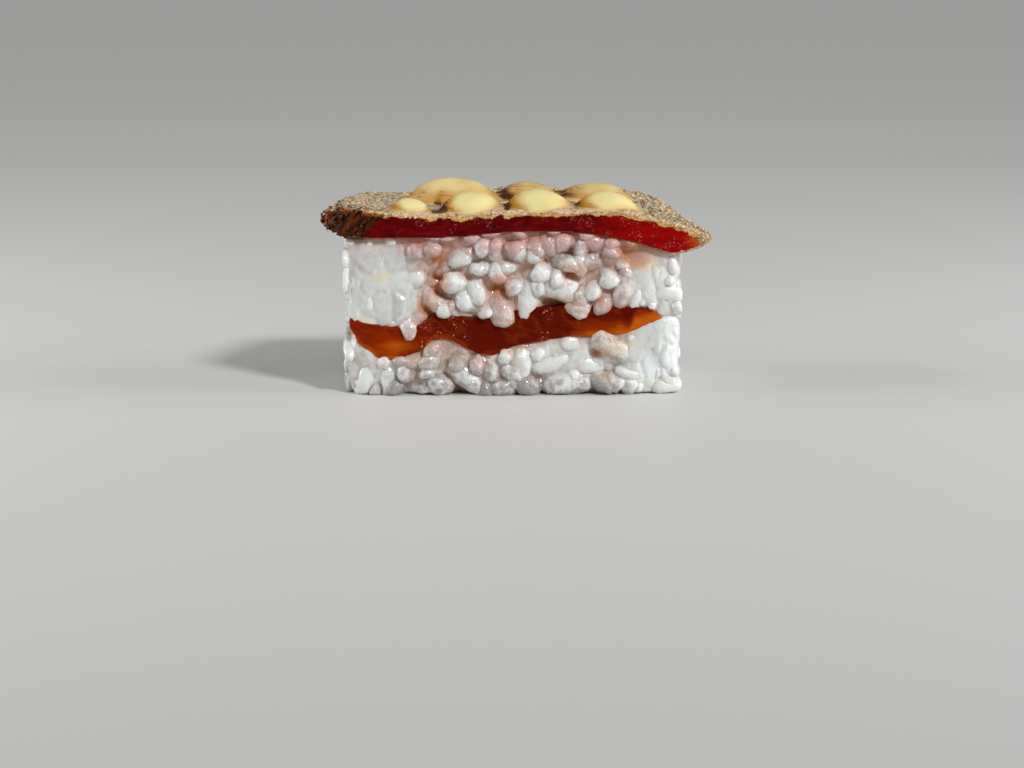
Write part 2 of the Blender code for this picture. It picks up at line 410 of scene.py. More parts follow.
def rice_material():
    paint = Paint(
        "cooked_rice",
        subsurface_weight=0.35,
        subsurface_radius=(0.5, 0.8, 1.0),
        subsurface_scale=0.8 * MM,
        specular_ior_level=1.0,
        coat_weight=0.7,
        coat_roughness=0.05,
        ior=1.4,
    )
    mask, blend, where = paint.mask, paint.blend, paint.place()
    patches = paint.mottle(where, size=1.2, contrast=3.0)
    cloudy = mask("tone") + (patches - 0.5) * (0.75 - 0.6 * mask("fused"))
    colour = blend(cloudy.between(0.1, 0.95), (238, 243, 241), (176, 168, 159))
    # pink: partly stain, partly painted shade under the beef and deeper behind the cut
    colour = blend(mask("pink") * cloudy.between(-0.5, 0.7), colour, (216, 168, 160))
    # amber: stain near the filling, made stronger deeper behind the cut as painted shade
    colour = blend(mask("amber") * cloudy.between(-0.4, 0.9), colour, (230, 186, 156))
    colour = blend(mask("cream"), colour, (236, 224, 184))
    # painted shade: warm tan in the hollows and deeper between the grains behind the cut
    colour = blend(mask("hollow"), colour, (214, 144, 96))
    colour = blend(mask("mauve") * cloudy.between(-0.2, 0.8), colour, (158, 150, 154))
    height = paint.wet_skin(where, wrinkle=1.1, grit=0.27, share=0.7)
    pressed = 1.0 - 0.65 * mask("fused")
    return paint.finish(colour, 0.13 * patches + 0.03, height * pressed, depth=0.32, strength=0.8)


def filling_material():
    paint = Paint(
        "amber_filling",
        subsurface_weight=0.25,
        subsurface_radius=(1.0, 0.25, 0.08),
        subsurface_scale=1.0 * MM,
        specular_ior_level=0.05,
        ior=1.42,
    )
    mask, blend, mottle = paint.mask, paint.blend, paint.mottle
    along = paint.place((3.4, 3.0, 0.8), turn=-12)
    patches = mottle(along, size=1.5, contrast=2.2)
    glow = mask("glow") + 0.24 * patches
    colour = blend(glow.between(0.1, 0.5), (102, 18, 2), (146, 42, 3))
    colour = blend(glow.between(0.45, 1.15), colour, (206, 98, 16))
    streaks = paint.scorch(along, streak=1.1, reach=0.36, speck=0.7)
    colour = blend(0.12 * streaks, colour, (190, 76, 20))
    # thin lighter lines where its layers fold
    wander = mottle(paint.place((1.4, 1.5, 4.0), turn=55), size=2.4, contrast=2.0, detail=1.5)
    folds = (3.0 * wander).maths("PINGPONG", 1.0).between(0.7, 1.0)
    colour = blend(0.12 * folds, colour, (196, 84, 22))
    # painted highlights: small pale glints where its skin is pitted
    where = paint.place()
    painted_glints = mottle(where, size=0.4, contrast=3.6, detail=1.0).between(0.9, 1.0)
    clusters = mottle(where, size=1.6, contrast=2.5, detail=1.0).between(0.5, 0.8)
    colour = blend(painted_glints * clusters * mask("pitted"), colour, (236, 168, 128))
    height = paint.wet_skin(along, wrinkle=1.2, grit=0.3)
    height += paint.wet_skin(where, wrinkle=0.8, grit=0.35, share=0.8) * mask("pitted")
    return paint.finish(colour, 0.12 * patches + 0.08, height, depth=0.4, strength=0.9)


def beef_material():
    paint = Paint(
        "seared_beef",
        subsurface_weight=0.12,
        subsurface_radius=(1.0, 0.2, 0.12),
        subsurface_scale=0.7 * MM,
        specular_ior_level=0.06,
        ior=1.42,
    )
    mask, blend, mottle = paint.mask, paint.blend, paint.mottle
    where, fibres = paint.place(), paint.place((2.6, 1.0, 0.9))
    # the raw red inside
    patches = mottle(fibres, size=1.6, contrast=2.4)
    red = blend(patches, (70, 1, 4), (118, 4, 8))
    red = blend(mask("bright"), red, blend(patches, (138, 2, 3), (178, 8, 6)))
    veins = paint.scorch(fibres, streak=1.1, reach=0.38, speck=0.6)
    red = blend(0.12 * veins, red, (196, 96, 88))
    red = blend(0.22 * veins.beside("Specks"), red, (196, 40, 36))
    glints = mottle(where, size=0.24, contrast=3.6, detail=1.0).between(0.95, 1.0)
    clusters = mottle(where, size=2.6, contrast=2.5, detail=1.0).between(0.72, 0.9)
    red = blend(0.4 * (glints * clusters), red, (232, 140, 130))
    red = blend(mask("ends"), red, (222, 104, 34))
    # the cooked tan outside, drawn out along the slice
    drawn = paint.place((2.4, 1.0, 1.0))
    grit = mottle(drawn, size=0.42, contrast=3.6, detail=5.0)
    tan = blend(grit, (86, 72, 56), (242, 226, 196))
    browned = paint.scorch(drawn, streak=3.0, reach=0.42, speck=0.5)
    tan = blend(0.3 * browned, tan, (140, 106, 78))
    tan = blend(0.55 * browned.beside("Specks"), tan, (56, 42, 34))
    # a narrow, uneven cream edge above the red
    below_top = mask("below_top")
    depth = below_top - 0.9 * mottle(where, size=1.7, contrast=2.4)
    inner = depth.between(0.04, 0.24) * mask("cut")
    edge = blend(grit, (206, 138, 70), (250, 208, 142))
    outside = blend(below_top.between(1.3, 0.35) * mask("flat"), edge, tan)
    outside = blend(mask("tip"), outside, (216, 156, 100))
    colour = blend(inner, outside, red)
    # the charred end, streaked from its foot up to the right, browner where it catches the edge
    ash = mottle(paint.place((4.0, 1.0, 1.0), turn=45), size=0.7, contrast=3.4, detail=5.0)
    char = blend(ash, (14, 5, 2), (104, 52, 18))
    char = blend(mask("ember") * ash.between(0.1, 0.7), char, (204, 122, 56))
    colour = blend((mask("char") - 0.3 * ash).between(0.05, 0.35), colour, char)
    height = paint.wet_skin(where, wrinkle=0.6, grit=0.25, share=0.8) * (1.0 - 0.7 * inner)
    return paint.finish(colour, 0.55 - 0.37 * inner, height, depth=0.5, strength=0.9)


def sauce_material():
    paint = Paint(
        "torched_sauce",
        subsurface_weight=0.15,
        subsurface_radius=(1.0, 0.7, 0.3),
        subsurface_scale=0.8 * MM,
        specular_ior_level=0.22,
        ior=1.45,
    )
    mask, blend, mottle = paint.mask, paint.blend, paint.mottle
    where, drawn = paint.place(), paint.place((2.8, 1.4, 0.6))
    patches = mottle(where, size=3.0, contrast=1.6)
    cream = blend(patches, (234, 218, 144), (244, 232, 172))
    golden = blend(patches, (178, 112, 16), (206, 148, 40))
    # the torch mask: torch browning, and painted shade on the domes' left flanks and in the clefts
    torch = mask("torch")
    golden_and_shaded = torch + 0.25 * (patches - 0.5)
    colour = blend(golden_and_shaded.between(0.1, 1.0), cream, golden)
    colour = blend(mask("film"), colour, blend(patches, (198, 158, 104), (228, 196, 142)))
    thin = blend(mottle(where, size=0.6, contrast=2.8), (190, 140, 98), (248, 224, 190))
    colour = blend(mask("thin"), colour, thin)
    # thin scorched lines that run round the feet of the domes and along the film
    wander = mottle(drawn, size=2.0, contrast=2.0, detail=2.0)
    strayed = mask("ring") + 1.6 * wander
    line = strayed.maths("PINGPONG", 0.45).between(0.26, 0.42)
    lines = line * paint.scorch(drawn, streak=1.3, reach=0.6, speck=0.7) * torch.between(0.3, 0.8)
    colour = blend(0.8 * lines, colour, blend(patches, (104, 60, 32), (156, 104, 62)))
    # darkest brown where that mask runs high: scorch, and painted shade deep in the clefts
    burnt_and_shaded = torch.between(1.0, 1.6) * wander.between(0.1, 0.6)
    colour = blend(burnt_and_shaded, colour, (78, 38, 16))
    height = paint.wet_skin(drawn, wrinkle=1.0, grit=0.4)
    return paint.finish(colour, 0.54 - 0.28 * mask("thin"), height, depth=0.16, strength=0.6)


def crumb_material():
    paint = Paint("seared_crumbs", specular_ior_level=0.05)
    where = paint.place()
    patches = paint.mottle(where, size=0.5, contrast=2.5)
    dark = paint.blend(patches, (22, 10, 5), (92, 54, 30))
    pale = paint.blend(patches, (212, 174, 126), (248, 228, 192))
    colour = paint.blend(paint.mask("tone"), dark, pale)
    height = paint.wet_skin(where, wrinkle=0.4, grit=0.12)
    return paint.finish(colour, 0.3 * patches + 0.5, height, depth=0.15, strength=0.7)


# ---- things that repeat


GRAIN_RIDGES = 0.07  # how far a grain's three blunt ridges stand out, as a share of its radius


def scatter_tree(name, form_nodes):
    """A tree that puts a form at every point, with the point's own turn and size."""
    inputs = {"Geometry": None, "Length": 1.0, "Thickness": 1.0, "Segments": 10, "Rings": 7}
    inputs.update({"Unevenness": 0.1, "Seed": 1.0, "Material": None})
    tree, given, result = new_group(name, inputs, ["Geometry"], "GeometryNodeTree")
    round_ball = {"Segments": given["Segments"], "Rings": given["Rings"], "Radius": 0.5}
    form = form_nodes(tree, given, add_node(tree, "GeometryNodeMeshUVSphere", round_ball, "Mesh"))
    set_out = {"Points": given["Geometry"], "Instance": form}
    for socket, name in (("Rotation", "turn"), ("Scale", "size")):
        read = "GeometryNodeInputNamedAttribute"
        set_out[socket] = add_node(tree, read, {"Name": name}, "Attribute", data_type="FLOAT_VECTOR")
    placed = add_node(tree, "GeometryNodeInstanceOnPoints", set_out)
    real = add_node(tree, "GeometryNodeRealizeInstances", {"Geometry": placed})
    dressed = add_node(tree, "GeometryNodeSetMaterial", {"Geometry": real, "Material": given["Material"]})
    join(tree, dressed, result["Geometry"])
    return tree


def rice_form(tree, given, ball):
    """A plump grain along Z: full sides, one end narrower, and a slight bend."""
    position = add_node(tree, "GeometryNodeInputPosition")
    x = add_node(tree, "ShaderNodeSeparateXYZ", {0: position})
    y, z = x.beside("Y"), x.beside("Z")
    along = 2.0 * z
    ridges = (3.0 * maths(tree, "ARCTAN2", y, x) + along).maths("COSINE")
    fullness = 0.12 * (along * along) + 1.0 + GRAIN_RIDGES * ridges - 0.16 * along
    plump = fullness * given["Thickness"]
    bend = along * along * given["Unevenness"]
    moved = {0: x * plump + bend, 1: 0.82 * (y * plump), 2: z * given["Length"]}
    grown = add_node(tree, "ShaderNodeCombineXYZ", moved)
    return add_node(tree, "GeometryNodeSetPosition", {"Geometry": ball, "Position": grown})


def crumb_form(tree, given, ball):
    """A lump knocked out of round."""
    position = add_node(tree, "GeometryNodeInputPosition")
    looks = {"Vector": position, "W": given["Seed"], "Scale": 2.4, "Detail": 1.0}
    lumps = add_node(tree, "ShaderNodeTexNoise", looks, "Fac", noise_dimensions="4D")
    size = (lumps - 0.5) * given["Unevenness"] + given["Thickness"]
    grown = add_node(tree, "ShaderNodeVectorMath", {0: position, "Scale": size}, operation="SCALE")
    return add_node(tree, "GeometryNodeSetPosition", {"Geometry": ball, "Position": grown})


def scattered_mesh(tree, points, turns, sizes, tones, material, values):
    """One mesh holding a form at every point."""
    mesh = bpy.data.meshes.new("points")
    mesh.from_pydata([tuple(p) for p in points], [], [])
    for name, rows in (("turn", turns), ("size", sizes)):
        layer = mesh.attributes.new(name, "FLOAT_VECTOR", "POINT")
        layer.data.foreach_set("vector", np.asarray(rows, np.float32).ravel())
    set_masks(mesh, tone=tones)
    obj = object_from(mesh, "scatter")
    modifier = obj.modifiers.new("scatter", "NODES")
    modifier.node_group = tree
    sockets = {item.name: item.identifier for item in tree.interface.items_tree if item.in_out == "INPUT"}
    for name, value in values.items():
        modifier[sockets[name]] = value
    modifier[sockets["Material"]] = material
    return settled_mesh(obj)


def turns_to(directions, spins):
    """Euler angles that lay the Z axis along each direction, after a spin about itself."""
    turns = []
    for direction, spin in zip(directions, spins):
        turn = Vector(direction).to_track_quat("Z", "X").to_matrix() @ Matrix.Rotation(spin, 3, "Z")
        turns.append(tuple(turn.to_euler()))
    return turns


# ---- rice

GRAIN_LENGTH, GRAIN_THICKNESS = 6.5, 3.3
GRAIN_BEND = 0.3
GRAIN_FILL = 0.76  # share of the shell's volume that loose grains take
GRAIN_FILL_BEHIND = 0.4  # share of it that further grains take at the sides and the back
BEHIND_FRONT = 5.0  # how far behind the front cut those begin
WALL_DRIFT = 0.06  # how strongly the press packs them against the sides and the back
DEEP_DRIFT = 0.3  # how strongly grains that have gone too deep come back out
SHELL = 5.4  # depth behind the walls that is made of real grains
FRONT_STEP = 0.5  # how far the loose grains stay behind the placed ones at the front cut
HOLLOW_STEP = 3.6  # how much further they stay back inside a hollow
SEEN_SHARE = 0.7  # share of a placed grain's outline that its neighbours leave in sight
THINNEST_GRAIN, THICKEST_GRAIN = 2.7, 3.9
LONGEST_GRAIN = 7.4
SHORTEST_SEEN = 1.4  # the least that a placed grain shows of its length, in thicknesses
UNDER_BEEF = 0.6  # how far below the beef the grains begin to be squashed by it
OVER_EDGE = 0.8  # how far grains lap over the filling's edge at the cuts
MASS_DEPTH = 1.15  # how far behind a cut the fused mass lies where the grains stand open
MASS_DEPTH_HOLLOW = 2.6
MASS_DEPTH_FUSED = 0.3
PRESSED_HOLLOW = 1.7  # depth of a hollow where the rice round it is fused
MASS_DEPTH_ENDS = 1.3
BLOCK_VOXEL, MASS_VOXEL = 0.7, 0.31
SUNK_SIZE = 1.17  # size, inside the fused mass, of the grains that it follows
FUSED_SHRINK = 0.42  # how much smaller the grains are that the fused parts hide
PRESSED_CELL = (3.3, 3.3, 5.4)  # size of a grain that is pressed flat
GRAIN_SWELL = 1.26  # how much the grains have swollen into each other
WALL_INSET = 0.45  # how far inside the layer's box the walls lie that the grains are packed against
SETTLE_ROUNDS = 90
BEADS_ALONG = np.array([-1.0, 0.0, 1.0])  # places of a grain's three beads, as shares of its reach
BEAD_SIZES = np.array([0.82, 1.0, 0.88])
BEAD_ROOM, BEAD_KEEP = 0.88, 0.86  # share of their size that beads keep clear of each other and of walls
LEAST_LAP = 0.45  # how far the mass at least reaches into the filling
RELAX_ROUNDS = 6
CREASE_DEPTH, CREASE_WIDTH = 0.34, 0.16  # the soft creases between grains that are pressed flat

# Grains that stand out at the front cut: x, z, seen length, thickness, tilt in degrees, and how
# glassy each one is.
FRONT_GRAINS = {
    "rice_lower": (
        (-28.3, 8.0, 3.6, 2.1, 88, 0), (-25.2, 3.0, 6.3, 3.6, 75, 0), (-21.5, 2.5, 5.0, 4.1, 90, 0.4),
        (-18.7, 5.5, 2.6, 1.8, 0, 0.6), (-17.9, 4.2, 3.0, 2.0, 15, 0.2), (-13.8, 5.5, 2.6, 2.3, 0, 0.5),
        (-13.1, 7.7, 3.3, 1.7, 15, 0.7), (-15.3, 2.0, 4.1, 2.0, -5, 0), (-14.4, 3.7, 2.3, 1.7, 0, 0.2),
        (-12.0, 1.7, 3.0, 2.8, 0, 0.1), (-8.5, 2.8, 6.3, 2.5, -42, 0), (-5.9, 5.3, 3.0, 2.0, 20, 0.4),
        (-4.9, 1.8, 3.3, 2.3, 80, 0.8), (-1.9, 4.2, 4.0, 3.0, -30, 0), (-22.7, 1.0, 3.3, 2.1, 0, 0.7),
        (-19.6, 1.2, 2.5, 2.1, 0, 0.7), (0.2, 4.3, 5.6, 3.3, 75, 0), (3.9, 7.3, 3.3, 2.3, 40, 0.3),
        (8.5, 1.5, 5.6, 2.6, 0, 0.1), (-1.4, 1.2, 4.0, 2.0, 0, 0.3), (10.8, 3.0, 3.3, 2.0, 0, 0.1),
        (13.1, 1.8, 3.6, 2.3, -10, 0.8), (15.8, 2.3, 2.6, 2.1, -40, 0), (18.6, 2.2, 3.3, 2.8, 80, 0.3),
        (21.0, 1.2, 3.0, 2.1, 0, 0.6), (24.8, 1.3, 5.3, 2.6, 0, 0), (6.0, 5.0, 5.6, 3.0, 20, 0.1),
        (11.5, 5.0, 5.3, 3.0, -15, 0.1), (15.9, 8.0, 5.6, 3.0, -30, 0.5), (19.9, 6.0, 5.0, 3.0, 60, 0.2),
        (24.8, 6.8, 5.9, 2.6, 88, 0), (2.7, 1.7, 3.6, 2.3, 30, 0.8),
        (-9.3, 5.5, 3.3, 2.1, 10, 0.7), (-23.0, 5.7, 3.3, 2.3, -20, 0.4), (23.2, 8.5, 5.6, 3.0, 70, 0.1),
    ),
    "rice_upper": (
        (-10.1, 23.2, 3.1, 2.8, -10, 0.0), (-8.1, 24.5, 3.1, 1.7, 85, 0.6), (-5.9, 22.0, 2.8, 2.1, 80, 0.2),
        (-9.8, 18.9, 3.3, 2.8, 0, 0.1), (-6.5, 18.5, 4.3, 3.3, 80, 0.1), (-2.7, 24.5, 3.6, 3.1, 20, 0.6),
        (-3.1, 21.2, 3.1, 2.5, 80, 0.3), (-11.4, 14.5, 2.8, 2.1, 10, 0.2), (-7.8, 15.9, 3.3, 2.5, 30, 0.1),
        (-5.7, 14.7, 3.0, 2.0, -40, 0.1), (-2.9, 15.2, 4.5, 2.8, 88, 0.6), (-16.1, 23.9, 2.8, 2.1, 0, 0.7),
        (-16.4, 20.5, 4.0, 3.1, 60, 0.3), (-14.1, 16.0, 4.0, 2.0, -45, 0.4), (-13.4, 24.9, 2.6, 2.0, 10, 0.8),
        (0.1, 25.1, 2.8, 2.3, 50, 0.8), (-1.1, 22.0, 2.6, 2.1, 60, 0.3), (3.4, 25.4, 2.8, 2.3, 60, 0.7),
        (5.5, 26.1, 3.0, 2.5, 70, 0.8), (8.5, 25.9, 2.8, 2.5, 0, 0.8), (10.8, 25.7, 3.0, 2.3, 85, 0.3),
        (13.8, 25.6, 3.0, 2.6, 0, 0.8), (15.8, 26.1, 2.3, 1.7, 90, 0.8), (16.1, 23.9, 2.1, 2.0, 0, 0.8),
        (3.4, 23.4, 2.3, 2.0, 0, 0.1), (1.2, 23.7, 2.5, 2.0, 0, 0.1), (8.7, 22.5, 2.5, 2.1, 90, 0.1),
        (10.6, 23.4, 3.8, 1.8, 80, 0.1), (13.1, 22.4, 2.8, 2.6, 0, 0.7), (5.2, 20.7, 3.8, 2.3, 25, 0.1),
        (15.1, 20.2, 3.3, 2.3, 90, 0.2), (13.0, 18.0, 2.8, 2.3, 60, 0.1), (7.3, 17.7, 5.6, 3.1, -25, 0.1),
        (10.8, 17.0, 3.0, 2.3, 60, 0.6), (11.3, 14.4, 3.6, 2.8, 0, 0.5), (1.7, 16.5, 5.4, 3.5, 80, 0),
        (-0.4, 18.9, 3.0, 2.3, 70, 0.2), (14.6, 16.0, 3.6, 2.5, 60, 0.7), (19.7, 16.2, 4.3, 2.0, 80, 0.2),
        (22.7, 21.0, 5.8, 2.5, 85, 0), (22.9, 15.0, 2.3, 2.0, 0, 0.1),
        (17.6, 18.0, 4.3, 2.0, 80, 0.6), (-25.3, 23.5, 5.6, 2.6, 75, 0),
        (-22.4, 21.4, 5.9, 3.3, 60, 0.1), (-24.3, 16.0, 6.6, 3.3, 85, 0), (-20.0, 14.7, 5.6, 3.3, 10, 0.1),
        (-20.7, 18.4, 5.6, 3.0, 20, 0.2), (-19.1, 24.0, 4.0, 2.3, -20, 0.5), (-27.1, 18.5, 5.6, 2.3, 88, 0),
        (-28.6, 19.2, 4.3, 1.7, 86, 0), (-28.5, 23.5, 3.0, 1.5, 85, 0.1), (-10.6, 27.0, 3.0, 2.0, 10, 0.7),
        (-6.9, 27.2, 2.8, 2.0, 30, 0.6), (-3.3, 27.6, 3.2, 2.0, 0, 0.8), (1.0, 27.7, 2.8, 2.0, 20, 0.6),
        (7.0, 28.0, 3.0, 2.0, 0, 0.8), (12.0, 27.7, 2.8, 2.0, 15, 0.5), (17.8, 26.2, 2.8, 2.0, -20, 0.7),
        (-14.6, 27.0, 2.8, 2.0, -10, 0.6), (-5.2, 25.3, 2.6, 2.1, 40, 0.4), (6.9, 20.0, 2.6, 2.3, 70, 0.1),
        (3.9, 18.9, 2.6, 2.2, 60, 0.3), (-17.2, 11.4, 2.7, 2.3, 10, 0.4), (-20.0, 12.6, 3.0, 1.9, 0, 0.3),
    ),
}
# Hollows between the grains of the front cut: x, z, half width, half height.
FRONT_HOLLOWS = {
    "rice_lower": (
        (13.9, 7.2, 1.5, 1.0), (-10.0, 0.8, 1.3, 0.8), (-16.9, 2.5, 1.3, 0.5), (-11.5, 4.0, 0.8, 0.5),
    ),
    "rice_upper": (
        (-13.0, 23.0, 1.5, 1.3), (-12.8, 18.7, 1.5, 2.5), (-2.9, 18.2, 1.6, 2.1), (-15.1, 15.0, 1.5, 1.7),
        (9.6, 20.9, 2.3, 1.4), (6.8, 15.5, 2.5, 0.8), (13.6, 16.0, 0.7, 0.7), (19.4, 23.6, 2.7, 2.2),
        (1.9, 21.5, 1.0, 0.5), (4.4, 22.4, 0.5, 0.5),
    ),
}
# Where the fused rice is cream: x, z, half width, half height, strength.
CREAM_PATCHES = (
    (-22.4, 19.9, 2.5, 0.9, 0.65), (-25.5, 12.5, 2.0, 1.5, 0.4), (21.0, 22.0, 2.6, 1.2, 0.6),
    (17.0, 8.2, 3.5, 0.9, 0.5), (14.5, 2.8, 1.4, 0.8, 0.5), (23.0, 1.6, 3.0, 0.9, 0.3),
)
GLASSIER_BELOW = 0.22  # how much glassier the grains of the lower layer are
FUSED_FADE = 0.55  # how much less the rice is fused away from the front cut
FADE_FROM, FADE_OVER = -11.5, 5.0  # where that begins, and over what distance
# Where the press has fused the grains smooth: x, z, half width, half height, strength.
FUSED_PATCHES = {
    "rice_lower": ((8.5, 6.0, 8.0, 3.0, 0.75), (24.0, 6.0, 6.0, 9.0, 1.0), (-25.0, 5.0, 5.5, 6.0, 0.7)),
    "rice_upper": ((-23.5, 18.0, 7.0, 8.5, 1.0), (24.5, 18.0, 5.5, 12.0, 0.9)),
}


def rice_walls(layer):
    """Left, right, front and back of the space that a layer's grains are packed into."""
    low, high = box_mm(layer)
    return low[0] + WALL_INSET, high[0] - WALL_INSET, low[1] + WALL_INSET, high[1] - WALL_INSET


def in_ovals(ovals, x, z, edge, soft):
    """How far inside the nearest of some ovals each place lies, times the oval's strength."""
    most = np.zeros(np.shape(x))
    for middle_x, middle_z, half_x, half_z, *strength in ovals:
        reach = np.hypot((x - middle_x) / half_x, (z - middle_z) / half_z)
        most = np.maximum(most, (strength or [1.0])[0] * ease((edge - reach) / soft))
    return most


def fused_at(layer, x, y, z):
    """1 where the rice is pressed smooth, 0 where its grains stand open."""
    fade = 1 - FUSED_FADE * ease((np.asarray(y) - FADE_FROM) / FADE_OVER)
    return in_ovals(FUSED_PATCHES[layer], x, z, 1.35, 0.6) * fade


def hollow_at(layer, x, y, z):
    """1 inside the hollows of the front cut, 0 elsewhere."""
    return in_ovals(FRONT_HOLLOWS[layer], x, z, 1.4, 0.6) * (np.asarray(y) < 0)


def wall_depth(points, walls):
    """Distance of each point behind the nearest upright wall."""
    left, right, front, back = walls
    x, y = points[..., 0], points[..., 1]
    return np.minimum(np.minimum(x - left, right - x), np.minimum(y - front, back - y))


def placed_grains(rng, layer):
    """Centres, directions, sizes and clearness of the grains set out at the front cut."""
    front = rice_walls(layer)[2]
    centres, directions, sizes, clear = [], [], [], []
    for x, z, seen, thickness, tilt, glassy in FRONT_GRAINS[layer]:
        seen, thickness = seen / SEEN_SHARE, thickness / SEEN_SHARE
        thickness = min(max(thickness, THINNEST_GRAIN), THICKEST_GRAIN)
        seen = min(max(seen, SHORTEST_SEEN * thickness), LONGEST_GRAIN)
        length = max(GRAIN_LENGTH * (thickness / GRAIN_THICKNESS) ** 0.5, seen)
        level = min(max((seen - thickness) / (length - thickness), 0.0), 1.0)
        inward = math.sqrt(1 - level**2)
        angle = math.radians(tilt)
        reach = (length - thickness) / 2
        fused = float(fused_at(layer, x, front, z))
        stand = rng.uniform(0.1, 0.75) * (1 - 0.75 * fused)
        centres.append((x, front + thickness / 2 + reach * inward - stand, z))
        side = 1 if tilt >= 0 else -1
        directions.append((level * math.cos(angle), inward * side, level * math.sin(angle)))
        wide = thickness / GRAIN_THICKNESS
        sizes.append((wide, wide, length / GRAIN_LENGTH))
        clear.append(glassy)
    return np.array(centres), np.array(directions), np.array(sizes), np.array(clear)


def loose_grains(rng, layer, taken):
    """Grains strewn at random through the shell behind the walls, not yet pushed apart."""
    left, right, front, back = rice_walls(layer)
    floor, roof = rice_floor[layer], rice_roof[layer]
    length, depth = right - left, back - front
    xs = np.linspace(left, right, 30)
    height = float(np.mean(roof(xs, 0 * xs) - floor(xs, 0 * xs)))
    shell_volume = (length * depth - (length - 2 * SHELL) * (depth - 2 * SHELL)) * height
    grain_volume = math.pi / 6 * GRAIN_LENGTH * GRAIN_THICKNESS**2
    everywhere = int(GRAIN_FILL * shell_volume / grain_volume) - taken // 2
    count = everywhere + int(GRAIN_FILL_BEHIND * shell_volume / grain_volume)
    centres = []
    while len(centres) < count:
        x, y = rng.uniform(left + 1, right - 1), rng.uniform(front + 1, back - 1)
        deep = min(x - left, right - x, y - front, back - y) > SHELL
        if deep or (len(centres) >= everywhere and y < front + BEHIND_FRONT):
            continue
        centres.append((x, y, rng.uniform(float(floor(x, y)) + 1, float(roof(x, y)) - 1)))
    directions = rng.normal(size=(count, 3)) * (1.0, 0.9, 0.65)
    directions /= np.linalg.norm(directions, axis=1)[:, None]
    thick = rng.normal(1.0, 0.09, count).clip(0.8, 1.2)
    long = thick * rng.normal(1.0, 0.1, count).clip(0.78, 1.2)
    clear = rng.beta(0.8, 1.8, count)
    return np.array(centres), directions, np.stack([thick, thick, long], axis=1), clear


def settle_grains(rng, layer):
    """Grains in the shell behind a layer's walls, once they have pushed each other apart.

    Each grain is three beads in a row. The placed ones stay where they are.
    """
    walls = left, right, front, back = rice_walls(layer)
    floor, roof = rice_floor[layer], rice_roof[layer]
    placed = placed_grains(rng, layer)
    loose = loose_grains(rng, layer, len(placed[0]))
    centres, directions, sizes, clear = (np.concatenate(pair) for pair in zip(placed, loose))
    count, fixed = len(centres), len(placed[0])
    free = (np.arange(count) >= fixed).astype(float)
    radius = GRAIN_THICKNESS / 2 * sizes[:, 0]
    reach = np.maximum(GRAIN_LENGTH * sizes[:, 2] / 2 - radius, 0.3) * 0.95
    stand = rng.uniform(-0.2, 0.5, count)
    bead_radius = (radius[:, None] * BEAD_SIZES).ravel()
    owner = np.repeat(np.arange(count), 3)
    apart = owner[:, None] != owner[None, :]
    room = (bead_radius[:, None] + bead_radius[None, :]) * BEAD_ROOM
    stands, bead_free = np.repeat(stand, 3), np.repeat(free, 3)
    keep = bead_radius * BEAD_KEEP
    for _ in range(SETTLE_ROUNDS):
        beads = centres[:, None] + directions[:, None] * (reach[:, None] * BEADS_ALONG)[..., None]
        flat = beads.reshape(-1, 3)
        gap = flat[:, None] - flat[None, :]
        distance = np.sqrt((gap**2).sum(-1)) + 1e-6
        press = np.where(apart, above_zero(room - distance), 0) / distance
        push = (gap * press[..., None]).sum(1) * 0.36
        x, y, z = flat.T
        back_off = FRONT_STEP + HOLLOW_STEP * hollow_at(layer, x, y, z)
        push[:, 0] += above_zero(left - stands + keep - x) - above_zero(x - right - stands + keep)
        push[:, 1] += above_zero(front + back_off + keep - y) - above_zero(y - back - stands + keep)
        behind = wall_depth(flat, walls)
        lap = OVER_EDGE * ease(1 - behind / 3.0)
        under = floor(x, y) - (lap if layer == "rice_upper" else 0)
        over = roof(x, y) + (lap if layer == "rice_lower" else 0.4)
        push[:, 2] += above_zero(under + keep - z) - above_zero(z - over + keep)
        deep = above_zero(behind - SHELL)
        near_x = np.minimum(x - left, right - x) < np.minimum(y - front, back - y)
        to_end, to_cut = np.sign(x - (left + right) / 2), np.sign(y - (front + back) / 2)
        packed = WALL_DRIFT * (y > front + BEHIND_FRONT)
        push[:, 0] += np.where(near_x, to_end * deep * DEEP_DRIFT, 0)
        push[:, 1] += np.where(near_x, 0, to_cut * deep * DEEP_DRIFT)
        push[:, 0] += np.where(near_x, to_end * packed, 0)
        push[:, 1] += np.where(near_x, 0, packed)
        push = (push * bead_free[:, None]).reshape(count, 3, 3)
        centres += push.mean(1) * 0.9
        directions += (push[:, 2] - push[:, 0]) / (2 * np.maximum(reach, 0.5))[:, None] * 0.5
        directions /= np.linalg.norm(directions, axis=1)[:, None]
    return centres, directions, sizes, clear


